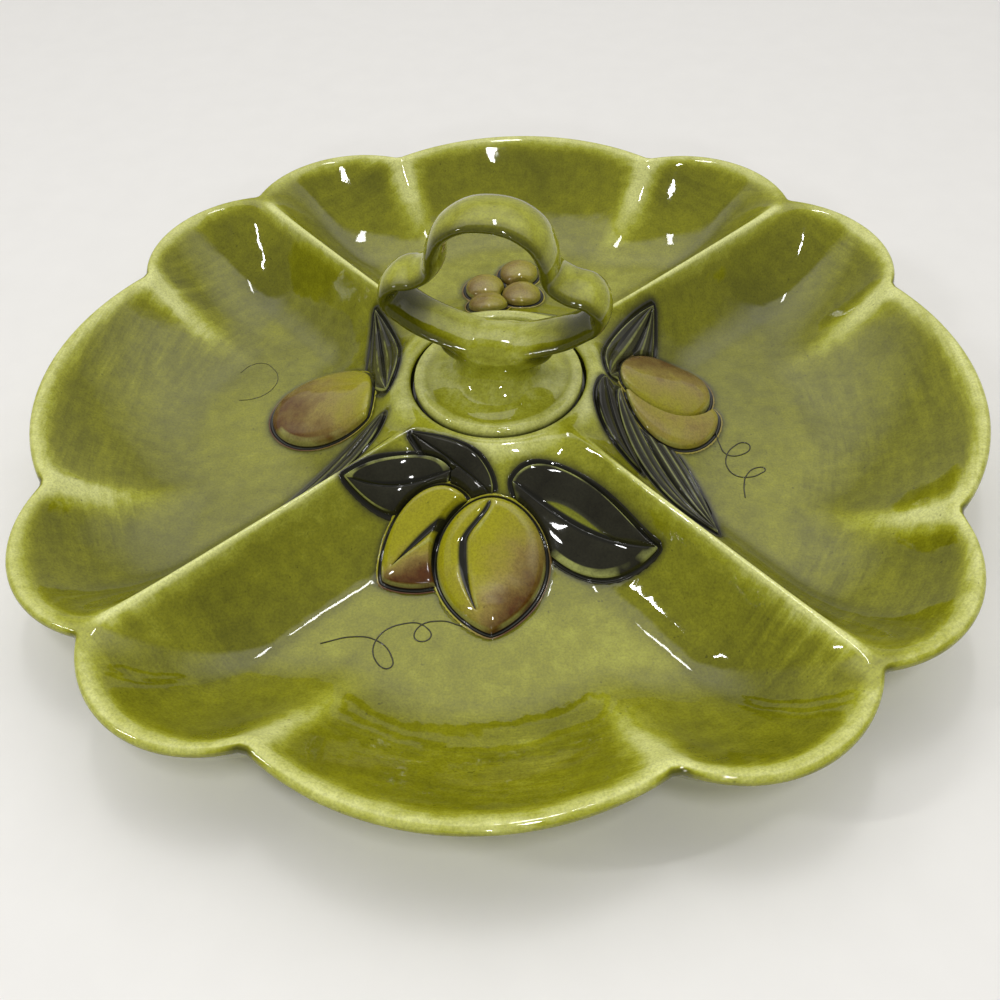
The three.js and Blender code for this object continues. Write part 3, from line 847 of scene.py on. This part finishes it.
SPRIG_GROUPS = (
    (
        fruit("front_fruit_right", FRONT, 72.5, 2, 4, 44, 38, 8, tip=0.25, crease=-0.5, crease_end=0.75,
              blush_along=0.22, blush_across=0.24, ripe=0.20),
        fruit("front_fruit_left", FRONT, 63.6, -20.5, -52, 37, 29, 6.5, tip=0.2, crease=-0.12,
              crease_end=0.8, ripe=0.08),
        leaf("front_leaf_right", FRONT, 57, 32.5, 65, 54, 24, sliver=0.40, rind=0.16,
             root=0.1, tip=0.75, root_low=0.4, tip_low=0.35),
        leaf("front_leaf_left", FRONT, 47, -31, -77, 36, 15, rind=0.14),
        leaf("front_leaf_top", FRONT, 40.5, -13.5, -121, 34, 11, root=0.05),
    ),
    (
        fruit("left_fruit", LEFT, 67, -3, 140, 48, 42, 7, tip=0.35, creased=0.0, ripe=0.30, rind=0.10,
              blush_along=-0.12, blush_across=-0.2),
        leaf("left_leaf_back", LEFT, 47.5, -20, -76, 54, 13, furrows=1.5),
        leaf("left_leaf_front", LEFT, 60, 34, 41, 51, 13, furrows=1.5),
    ),
    (
        fruit("right_fruit_upper", RIGHT, 62.5, 17, -144, 39.5, 31.5, 7, creased=0.0, ripe=0.32,
              blush_along=-0.1, blush_across=-0.15),
        fruit("right_fruit_lower", RIGHT, 65.5, 5, 15, 37, 34, 5.5, creased=0.0, ripe=0.28,
              blush_along=0.0, blush_across=0.0),
        leaf("right_leaf_back", RIGHT, 50, 28, 70, 50, 15, furrows=1.5),
        leaf("right_leaf_front", RIGHT, 62, -25, -56, 62, 18, furrows=2.5),
        leaf("right_leaf_short", RIGHT, 46, -16, -68, 36, 10, bend=-3),
    ),
    (
        cherry("back_cherry_middle", 83, -3),
        cherry("back_cherry_left", 88, 13.5),
        cherry("back_cherry_outer", 99, -1),
        cherry("back_cherry_inner", 75, 11),
        leaf("back_leaf_left", BACK, 54, 28, 62, 40, 14),
        leaf("back_leaf_right", BACK, 54, -26, -62, 40, 14),
    ),
)
print("sprigs", sum(len(group) for group in SPRIG_GROUPS))


# %% Press a sprig
GRASS_GREY = 0.3
RIND_BLUR = 0.12
RIPE_FADE = (0.0, 0.6)
SLIVER_START = -0.6
SLIVER_BULGE = 2.1
SLIVER_BLUR = 0.2
SLIVER_DEPTH = 0.8
PRESSED_END = 1.14
PRESSED_CLAY = 1.02
PRESSED_INK = 1.04


def sprig_marks(sprig, s, t):
    """Lift, ink, pale edge and blush of points of the unit disc."""
    reach = np.hypot(s, t)
    relief = fruit_relief if sprig["kind"] == "fruit" else leaf_relief
    lift, ink, pale = relief(sprig, s, t)
    rind = np.where(t < 0, sprig["rind"], RIND)
    edge = np.maximum(pale, np.clip(0.5 + (reach - 1 + rind) / RIND_BLUR, 0, 1))
    blush = fade(s * sprig["blush_along"] + t * sprig["blush_across"] + sprig["ripe"], *RIPE_FADE)
    if sprig["kind"] == "leaf":
        q = across_share(s, t)
        along = np.clip(s - SLIVER_START, 0, 1)
        opening = sprig["sliver"] * SLIVER_BULGE * along**0.7 * (1 - along)
        blush = np.clip(0.5 + np.minimum(q - 0.1, opening - q) / SLIVER_BLUR, 0, 1)
        lift = lift - SLIVER_DEPTH * blush
        if sprig["furrows"]:
            blush = np.maximum(blush, GRASS_GREY)
    return lift, ink, edge, blush


def sink_under(uppers, place, lift, ink):
    """Presses a sprig down where another lies on it, with a dark groove between the two."""
    for upper in uppers:
        reach = np.hypot(*from_plan(upper, place))
        under = 1 - fade(reach, PRESSED_CLAY, PRESSED_END)
        lift = lift * (1 - under) + SINK * under
        ink = np.maximum(ink, 1 - fade(reach, PRESSED_INK, PRESSED_END))
    return lift, ink


def sprig_rows(sprig, uppers):
    top, marks = [], []
    even = np.linspace(0, 1, SPRIG_RINGS)
    for share in 0.5 * even + 0.5 * np.sin(even * math.pi / 2):
        s, t = share * np.cos(SPRIG_ANGLES), share * np.sin(SPRIG_ANGLES)
        place = to_plan(sprig, s, t)
        lift, ink, edge, blush = sprig_marks(sprig, s, t)
        lift, ink = sink_under(uppers, place, lift, ink)
        top.append(on_tray(place, lift))
        marks.append(np.stack([ink, edge, blush], axis=1))
    for skirt in SKIRT:
        place = outline(sprig, skirt["spread"])
        lift = np.full(SPRIG_COLUMNS, skirt["lift"])
        lift, ink = sink_under(uppers, place, lift, np.full(SPRIG_COLUMNS, skirt["ink"]))
        top.append(on_tray(place, lift))
        marks.append(np.stack([ink, np.full(SPRIG_COLUMNS, skirt["edge"]), marks[-1][:, 2]], axis=1))
    middle = to_plan(sprig, 0, 0)
    spokes = outline(sprig, 0) - middle
    bed = np.full(SPRIG_COLUMNS, SPRIG_BED)
    under = [on_tray(middle + share * spokes, bed) for share in (0.0, 0.5, 1.0)]
    return top, under, marks


def press_sprig(pat, sprig, uppers):
    piece = pat.copy()
    piece.data = pat.data.copy()
    piece.name = "glazed_" + sprig["name"]
    bpy.context.scene.collection.objects.link(piece)
    top, under, marks = sprig_rows(sprig, uppers)
    row, column, below = pat_cells(piece, SPRIG_COLUMNS)
    kept = np.stack(marks)[np.minimum(row, len(marks) - 1), column]
    kept[below] = (1, 0, 0)
    press(piece, SPRIG_COLUMNS, top, under)
    for index, name in enumerate(("ink", "edge", "blush")):
        store(piece, name, kept[:, index])
    return piece


sprig_pat = throw_pat("sprig_pat", SPRIG_RINGS + len(SKIRT) - 1, 2, SPRIG_COLUMNS)
print("sprig pat faces", len(sprig_pat.data.polygons))

# %% [markdown]
# ## Fruit and leaf glazes
# The potter dabbed brown over yellow on the fruit and a nearly black green on the leaves, then dipped
# the dish. On the raised edges the dark glaze breaks and shows a thin pale line.

# %% Fruit and leaf glazes
FRUIT_YELLOW = (0.320, 0.300, 0.009, 1)
FRUIT_TAN = (0.272, 0.208, 0.049, 1)
FRUIT_BROWN = (0.087, 0.028, 0.004, 1)
LEAF_DARK = (0.012, 0.011, 0.005, 1)
LEAF_GREY = (0.050, 0.050, 0.030, 1)
LEAF_SHINE = 0.38
BROKEN_EDGE = (0.360, 0.385, 0.110, 1)
PALE_SLIVER = (0.210, 0.225, 0.020, 1)
EDGE_GAP_SCALE = 75
DAB_SCALE, DAB_DEPTH = 110, 0.16
LEAF_CLOUD_SCALE, LEAF_CLOUD = 70, 0.4
FRUIT_EDGE, LEAF_LINE = 0.55, 0.8
SPRIG_RIPPLE = 0.3


def broken_edge(tree, where, strength):
    """The pale line along an edge, with gaps where the glaze stayed thick."""
    gaps = remap(tree, noise(tree, where, EDGE_GAP_SCALE, 2), 0.40, 0.56, 0.0, 1.0)
    line = remap(tree, attribute(tree, "edge"), 0.38, 0.62)
    return maths(tree, "MULTIPLY", maths(tree, "MULTIPLY", line, gaps), strength)


def inked(tree, colour):
    """Covers a glaze with the ink marks."""
    return mix_colour(tree, remap(tree, attribute(tree, "ink"), 0.35, 0.65), colour, INK_AND_SHADE)


def fruit_glaze():
    material, tree, shader = new_material("fruit_glaze")
    where = add_node(tree, "ShaderNodeTexCoord").outputs["Object"]
    dabs = remap(tree, noise(tree, where, DAB_SCALE, 4, 0.6), 0.3, 0.7, -DAB_DEPTH, DAB_DEPTH)
    blush = maths(tree, "ADD", attribute(tree, "blush"), dabs)
    yellow = mix_colour(tree, remap(tree, blush, 0.05, 0.6), FRUIT_YELLOW, FRUIT_TAN)
    colour = mix_colour(tree, remap(tree, blush, 0.5, 1.0), yellow, FRUIT_BROWN)
    colour = mix_colour(tree, broken_edge(tree, where, FRUIT_EDGE), colour, BROKEN_EDGE)
    tree.links.new(inked(tree, speckled(tree, colour, where)), shader.inputs["Base Color"])
    gloss(tree, shader, where, SPRIG_RIPPLE)
    return material


def leaf_glaze():
    material, tree, shader = new_material("leaf_glaze")
    where = add_node(tree, "ShaderNodeTexCoord").outputs["Object"]
    cloud = remap(tree, noise(tree, where, LEAF_CLOUD_SCALE, 4, 0.6), 0.3, 0.7, 0.0, LEAF_CLOUD)
    faded = maths(tree, "ADD", cloud, maths(tree, "MULTIPLY", attribute(tree, "blush"), 2.0))
    colour = mix_colour(tree, faded, LEAF_DARK, LEAF_GREY)
    colour = mix_colour(tree, broken_edge(tree, where, LEAF_LINE), colour, BROKEN_EDGE)
    colour = mix_colour(tree, remap(tree, attribute(tree, "blush"), 0.4, 0.6), colour, PALE_SLIVER)
    tree.links.new(inked(tree, speckled(tree, colour, where)), shader.inputs["Base Color"])
    shader.inputs["Specular IOR Level"].default_value = LEAF_SHINE
    gloss(tree, shader, where, SPRIG_RIPPLE)
    return material


SPRIG_GLAZES = {"fruit": fruit_glaze(), "leaf": leaf_glaze()}
print("sprig glazes", list(SPRIG_GLAZES))

# %% Press all sprigs
for group in SPRIG_GROUPS:
    for rank, sprig in enumerate(group):
        piece = press_sprig(sprig_pat, sprig, group[:rank])
        piece.data.materials.append(SPRIG_GLAZES[sprig["kind"]])
        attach(piece, "tray_body")
        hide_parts(sprig["name"])
bpy.data.objects.remove(sprig_pat)
print("pressed", [sprig["name"] for group in SPRIG_GROUPS for sprig in group])

# %% [markdown]
# ## Grooves, dark bands and painted seat shade
# Each sprig lies in a groove that the tray keeps free for it. The green is darkened in a soft band a
# little way out of each groove, and the lid's seat is painted dark, as painted shade in the gap under
# the lid.

# %% Grooves round the sprigs
HALO_START = 1.2
HALO_REACH = 1.7
HALO_DARK = 0.85
GROOVE_START = 0.5
GROOVE_EDGE = 1.5
FAR_AWAY = 99.0
SEARCH_MARGIN = 10
SEAT_SHADE_DEPTH = 4
RING_FREE = 1.2


def sprig_gap(sprig, place):
    """Distance from the sprig's edge, negative inside it."""
    gap = np.min(np.linalg.norm(place[:, None] - outline(sprig, 0)[None], axis=2), axis=1)
    inside = np.hypot(*from_plan(sprig, place)) < 1
    return np.where(inside, -gap, gap)


surface = top_height(tray_out, np.arctan2(tray_points[:, 1], tray_points[:, 0]))
on_top = np.abs(tray_points[:, 2] - surface) < 1
gap = np.full(len(tray_points), FAR_AWAY)
for group in SPRIG_GROUPS:
    for sprig in group:
        away = np.linalg.norm(tray_points[:, :2] - to_plan(sprig, 0, 0), axis=1)
        near = on_top & (away < sprig["length"] / 2 + SEARCH_MARGIN)
        gap[near] = np.minimum(gap[near], sprig_gap(sprig, tray_points[near, :2]))
halo_and_shade = np.exp(-((np.maximum(gap - HALO_START, 0) / HALO_REACH) ** 2))
# Painted shade: the lid's seat is painted dark, for the shade in the gap under the lid.
painted_seat_shade = np.abs(tray_out - SEAT_RADIUS) < LEDGE_WIDTH
painted_seat_shade &= (tray_points[:, 2] > LEDGE_TOP - SEAT_SHADE_DEPTH) & (tray_points[:, 2] < RING_TOP - RING_FREE)
halo_and_shade[painted_seat_shade] = 1
store(tray, "halo_and_shade", HALO_DARK * halo_and_shade)
grooved = tray_points - np.array([0, 0, TRENCH]) * (1 - fade(gap, GROOVE_START, GROOVE_EDGE))[:, None]
write_points(tray, grooved * MM)
print("points in a groove", int((gap < GROOVE_EDGE).sum()))

# %% [markdown]
# ## Lid
# The lid is thrown as a cap with a beaded rim and a neck, and a strap of clay is bent into a trefoil
# and joined to the neck with a pad of wet clay. On the real lid the joints are smoothed with a finger
# before glazing. So the cap is spun from its section, the strap is a lens-like section along a curve,
# the pad is a squashed ball, and all three are fused by a fine remesh and smoothed, which rounds the
# joints too.

# %% Lid sizes
LID_CLEARANCE = 1.3
SEAT_GAP = 0.3
LID_TURN = -8 * DEG
BEAD_HEIGHT = 5.8
BEAD_WIDTH = 4.4
BEAD_RISE = 0.6
SKIRT_DEPTH = 6
SKIRT_WALL = 4
CROWN_WALL = 6
NECK_RADIUS = 10.5
NECK_HEIGHT = 13.2
NECK_FLARE = 1.1
NECK_FLARE_BEND = 80
NECK_DEPTH_FLARE = 0.14
STRAP_THICKNESS = 6.8
STRAP_DEPTH = 21
SECTION_FULLNESS = 0.8
JOINT_SIZE = (21, 11.4, 6.6)
JOINT_HEIGHT = 1.2
LOOP_HALF_WIDTH = 37.2
LOOP_WIDEST = 21.5
LOBE_TOP = 30.2
ARCH_RADIUS = 19.2
ARCH_SPRING = 35.5
NECK_BITE = 2
LID_BASE = LEDGE_TOP + SEAT_GAP
FLANGE_RADIUS = SEAT_RADIUS - LID_CLEARANCE
LID_SKIRT_RADIUS = WELL_RADIUS - LID_CLEARANCE
NECK_TOP = LID_BASE + BEAD_HEIGHT + NECK_HEIGHT
STRAP_BASE = NECK_TOP - NECK_BITE
print("lid from", LID_BASE - SKIRT_DEPTH, "to", STRAP_BASE + ARCH_SPRING + ARCH_RADIUS, "mm high")

# %% Cap
CAP_COLUMNS = 128


def curve_points(start, pull, end, count):
    """Points of a curve from start to end that is pulled towards a third point."""
    start, pull, end = np.array(start), np.array(pull), np.array(end)
    shares = np.linspace(0, 1, count + 1)[1:]
    return [tuple((1 - u) ** 2 * start + 2 * u * (1 - u) * pull + u * u * end) for u in shares]


def cap_section():
    bead_top = LID_BASE + BEAD_HEIGHT
    dish_top = bead_top - BEAD_RISE
    crown = dish_top - CROWN_WALL
    bead_middle = FLANGE_RADIUS - BEAD_WIDTH / 2
    dish_radius = FLANGE_RADIUS - BEAD_WIDTH
    inside = LID_SKIRT_RADIUS - SKIRT_WALL
    points = [(0, crown + SKIRT_WALL), (NECK_RADIUS, crown + SKIRT_WALL / 2), (inside, crown)]
    points += [(inside, LID_BASE - SKIRT_DEPTH), (LID_SKIRT_RADIUS, LID_BASE - SKIRT_DEPTH)]
    points += [(LID_SKIRT_RADIUS, LID_BASE), (FLANGE_RADIUS, LID_BASE)]
    points += [(FLANGE_RADIUS, bead_top - BEAD_WIDTH / 2)]
    points += curve_points(points[-1], (FLANGE_RADIUS, bead_top), (bead_middle, bead_top), 6)
    points += curve_points(points[-1], (dish_radius, bead_top), (dish_radius, dish_top), 6)
    points += curve_points(points[-1], (NECK_RADIUS, dish_top), (NECK_RADIUS, NECK_TOP), 20)
    return points + [(0, NECK_TOP)]


def spin_cap(steps):
    section = [(radius * MM, height * MM) for radius, height in cap_section()]
    cap = start_point()
    bpy.ops.transform.translate(value=(section[0][0], 0, section[0][1]))
    for (r0, z0), (r1, z1) in zip(section, section[1:]):
        extrude_to(r1 - r0, z1 - z0)
    spin_round(steps)
    return cap


def flare_neck(cap):
    """Widens the neck along the strap and lifts it with the strap's underside."""
    points = read_points(cap) / MM
    up = np.maximum(points[:, 2] - LID_BASE - BEAD_HEIGHT, 0) / NECK_HEIGHT
    points[:, 0] *= 1 + NECK_FLARE * up * up
    points[:, 1] *= 1 + NECK_DEPTH_FLARE * up * up
    points[:, 2] += up * points[:, 0] ** 2 / NECK_FLARE_BEND
    write_points(cap, points * MM)


cap = spin_cap(CAP_COLUMNS)
flare_neck(cap)
print("cap faces", len(cap.data.polygons))

# %% Strap
STRAP_STEPS = 14
SECTION_STEPS = 8


def loop_points():
    """Middle line of the trefoil, anticlockwise from its lowest point."""
    half = STRAP_THICKNESS / 2
    rise = LOOP_WIDEST - half
    right = [
        (LOOP_HALF_WIDTH * 0.51, half + rise * 0.24),
        (LOOP_HALF_WIDTH * 0.85, half + rise * 0.63),
        (LOOP_HALF_WIDTH, LOOP_WIDEST),
        (LOOP_HALF_WIDTH * 0.91, LOBE_TOP - (LOBE_TOP - LOOP_WIDEST) * 0.28),
        (LOOP_HALF_WIDTH * 0.7, LOBE_TOP),
        (ARCH_RADIUS * 1.05, ARCH_SPRING - ARCH_RADIUS * 0.04),
        (ARCH_RADIUS * 0.97, ARCH_SPRING + ARCH_RADIUS * 0.34),
        (ARCH_RADIUS * 0.707, ARCH_SPRING + ARCH_RADIUS * 0.764),
    ]
    left = [(-across, up) for across, up in reversed(right)]
    return [(0, half)] + right + [(0, ARCH_SPRING + ARCH_RADIUS)] + left


def strap_section():
    """A lens-like oval, drawn as a circle with short handles and pressed flat."""
    pick()
    bpy.ops.curve.primitive_bezier_circle_add(radius=1)
    section = bpy.context.object
    for knot in section.data.splines[0].bezier_points:
        knot.handle_left_type = "FREE"
        knot.handle_right_type = "FREE"
        for end in ("handle_left", "handle_right"):
            reach = getattr(knot, end) - knot.co
            setattr(knot, end, knot.co + SECTION_FULLNESS * reach)
    section.data.transform(Matrix.Diagonal((STRAP_THICKNESS / 2 * MM, STRAP_DEPTH / 2 * MM, 1, 1)))
    section.data.resolution_u = SECTION_STEPS
    return section


def smooth_line(name, places, steps):
    """A curve that runs smoothly through places in millimetres."""
    line = bpy.data.curves.new(name, "CURVE")
    line.dimensions = "3D"
    spline = line.splines.new("BEZIER")
    spline.bezier_points.add(len(places) - 1)
    for knot, place in zip(spline.bezier_points, places):
        knot.co = [value * MM for value in place]
        knot.handle_left_type = "AUTO"
        knot.handle_right_type = "AUTO"
    spline.resolution_u = steps
    return line


def harden(line):
    """Turns a curve into a mesh piece."""
    piece = bpy.data.objects.new(line.name, line)
    bpy.context.scene.collection.objects.link(piece)
    pick(piece)
    bpy.ops.object.convert(target="MESH")
    return bpy.context.object


def bend_strap():
    line = smooth_line("strap", [(across, up, 0) for across, up in loop_points()], STRAP_STEPS)
    line.twist_mode = "Z_UP"
    line.fill_mode = "FULL"
    line.splines[0].use_cyclic_u = True
    line.bevel_mode = "OBJECT"
    section = strap_section()
    line.bevel_object = section
    strap = harden(line)
    bpy.data.objects.remove(section)
    stand_up = Matrix.Translation((0, 0, STRAP_BASE * MM)) @ Matrix.Rotation(QUARTER, 4, "X")
    strap.data.transform(stand_up)
    return strap


strap = bend_strap()
print("strap faces", len(strap.data.polygons), "size", [round(v, 4) for v in strap.dimensions])

# %% Fuse the lid
LID_VOXEL = 0.6
FINGER_STRENGTH = 0.5
FINGER_PASSES = 10

joint_place = (0, 0, (STRAP_BASE + JOINT_HEIGHT) * MM)
joint_size = [size * MM for size in JOINT_SIZE]
pick()
bpy.ops.mesh.primitive_uv_sphere_add(segments=48, ring_count=24, location=joint_place, scale=joint_size)
joint = bpy.context.object
bpy.ops.object.transform_apply(location=True, rotation=True, scale=True)
pick(cap, strap, joint)
bpy.ops.object.join()
lid = bpy.context.object
lid.name = "dish_lid"
lid.data.transform(Matrix.Rotation(LID_TURN, 4, "Z"))
fuse = lid.modifiers.new("fuse", "REMESH")
fuse.mode = "VOXEL"
fuse.voxel_size = LID_VOXEL * MM
bpy.ops.object.modifier_apply(modifier="fuse")
wipe = lid.modifiers.new("wet_finger", "SMOOTH")
wipe.factor = FINGER_STRENGTH
wipe.iterations = FINGER_PASSES
bpy.ops.object.modifier_apply(modifier="wet_finger")
bpy.ops.object.shade_smooth()
print("lid faces", len(lid.data.polygons))

# %% [markdown]
# ## Glaze on the lid
# The lid wears the tray's glaze, so it only needs its own flow. The cap and the neck are painted
# lighter, as painted light from the front. The glaze stayed thicker on the strap and gathered along
# the strap's edges; its hollows are deepened and the inner faces of its two side lobes darkened, as
# painted shade. Where a point lies and which way it faces is enough to tell these apart. A painted
# shadow line under the bead joins the painted shade of the seat below it.

# %% Glaze on the lid
LID_PASSES, LID_FULL = 40, 1.5
LID_THINNING = 0.6
LID_POOLING_AND_SHADE = 2.4
LID_BRUSHED = 0.3
CAP_PAINTED_LIGHT = 0.48
STRAP_GOLD = 0.14
STRAP_FADE = (-6, 0)
STRAP_EDGE_DEPTH = 1.3
STRAP_EDGE_FACING = (0.2, 0.65)
NECK_PAINTED_LIGHT = 0.85
NECK_SIDE_FADE = (8, 20)
NECK_UP_FADE = (8, 14)
LOBE_SHADE_DEPTH = 1.3
LOBE_FACING = (0.2, 0.7)
LOBE_FADE = (20, 31)
SEAT_SHADOW_DARK = 0.9
SEAT_SHADOW_OUT = (-1.8, -0.8)
SEAT_SHADOW_START, SEAT_SHADOW_END = 1.4, 0.4
ALONG_STRAP = np.array([math.cos(LID_TURN), math.sin(LID_TURN)])
ACROSS_STRAP = np.array([-math.sin(LID_TURN), math.cos(LID_TURN)])


def shaded_lobe_faces(along, up, normals):
    """1 on the inner faces of the strap's side lobes, which look at the middle of the loop."""
    from_middle = np.stack([along, up - LOOP_WIDEST], axis=1)
    from_middle /= np.linalg.norm(from_middle, axis=1, keepdims=True)
    facing = np.stack([normals[:, :2] @ ALONG_STRAP, normals[:, 2]], axis=1)
    inwards = -np.sum(from_middle * facing, axis=1)
    return fade(inwards, *LOBE_FACING) * fade(np.abs(along), *LOBE_FADE)


# Painted shadow: a dark line round the lid just under its bead, for the shade of the gap above the seat.
def painted_gap_shadow(points):
    outside = fade(np.hypot(points[:, 0], points[:, 1]) - FLANGE_RADIUS, *SEAT_SHADOW_OUT)
    bead_side = BEAD_HEIGHT - BEAD_WIDTH / 2
    under_bead = 1 - fade(points[:, 2] - LID_BASE, SEAT_SHADOW_START, bead_side + SEAT_SHADOW_END)
    return SEAT_SHADOW_DARK * outside * under_bead


lid_points = read_points(lid) / MM
lid_up = lid_points[:, 2] - NECK_TOP
flow, normals = glaze_flow(lid, LID_PASSES, LID_FULL)
on_strap = fade(lid_up, *STRAP_FADE)
at_neck = (1 - fade(np.abs(lid_points[:, 0]), *NECK_SIDE_FADE)) * (1 - fade(lid_up, *NECK_UP_FADE))
strap_edge = fade(np.abs(normals[:, :2] @ ACROSS_STRAP), *STRAP_EDGE_FACING) * on_strap
# Painted light: the strap's edges are kept light at the neck.
strap_edge *= 1 - NECK_PAINTED_LIGHT * at_neck
# Painted shade: the inner faces of the strap's side lobes are darkened.
lobe_shade = shaded_lobe_faces(lid_points[:, :2] @ ALONG_STRAP, lid_up, normals) * on_strap
# Glaze pooling in the lid's hollows is made deeper than the tray's, partly as painted shade in the strap's
# inner corners.
flow = np.where(flow > 0, LID_THINNING * flow, LID_POOLING_AND_SHADE * flow)
# Painted light: the cap and the neck are made lighter, for the light that falls on them from the front.
flow += CAP_PAINTED_LIGHT + (STRAP_GOLD - CAP_PAINTED_LIGHT) * on_strap * (1 - at_neck)
flow -= STRAP_EDGE_DEPTH * strap_edge + LOBE_SHADE_DEPTH * lobe_shade
store(lid, "flow", flow)
store(lid, "brushed", np.full(len(flow), LID_BRUSHED))
store(lid, "halo_and_shade", painted_gap_shadow(lid_points))
store(lid, "bare", np.zeros(len(flow)))
lid.data.materials.append(tray_glaze)
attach(lid, "lid")
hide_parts("lid_cap", "lid_handle")
print("lid flow from", flow.min(), "to", flow.max())

# %% [markdown]
# ## Tendrils
# Thin curly tendrils are drawn into the clay beside the fruit with a needle and fill with dark glaze.
# Each is a fine thread laid on the floor along a curve through a few points.

# %% Tendrils
NEEDLE_RADIUS = 0.24
FAINT_RADIUS = 0.13
THREAD_LIFT = 0.05
THREAD_STEPS = 10
THREAD_MARKS = {"ink": 0.3, "edge": 0.0, "blush": 0.2}
FRONT_TENDRIL = (
    (-6.2, -91.7), (-13.7, -90), (-20.7, -93), (-20.7, -97.7), (-16.2, -96.7), (-18.4, -92.4),
    (-24.1, -91.3), (-33.6, -97.9), (-31.8, -107.4), (-27.7, -108.6), (-28.2, -103.7),
    (-34.5, -98.2), (-42.1, -97.6), (-51.9, -100.6),
)
RIGHT_TENDRIL = (
    (82.3, 1.7), (83.3, -4.5), (86, -10.3), (91.2, -10.1), (94.7, -5.9), (93.1, -3.8),
    (88.5, -6.1), (85.4, -11.8), (85.8, -17.8), (88.6, -21), (92.8, -21.5), (96.9, -19.8),
    (99.1, -16.9), (96.3, -16.6), (92.5, -19.9), (90.8, -25.9), (90.7, -31.6),
)
LEFT_TENDRIL = (
    (-111, 29.7), (-107.6, 34.5), (-102.9, 36), (-97.5, 32.4), (-94.6, 27.3), (-94.7, 22.3),
    (-97.5, 17.2), (-101.8, 14.3), (-107.4, 13.1),
)


def lay_tendril(name, points, radius):
    lying = on_tray(np.array(points, float), np.full(len(points), THREAD_LIFT))
    line = smooth_line(name, lying, THREAD_STEPS)
    line.bevel_depth = radius * MM
    line.bevel_resolution = 2
    line.use_fill_caps = True
    thread = harden(line)
    for mark, value in THREAD_MARKS.items():
        store(thread, mark, np.full(len(thread.data.vertices), value))
    thread.data.materials.append(SPRIG_GLAZES["leaf"])
    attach(thread, "tray_body")
    return thread


lay_tendril("front_tendril", FRONT_TENDRIL, NEEDLE_RADIUS)
lay_tendril("right_tendril", RIGHT_TENDRIL, NEEDLE_RADIUS)
lay_tendril("left_tendril", LEFT_TENDRIL, FAINT_RADIUS)
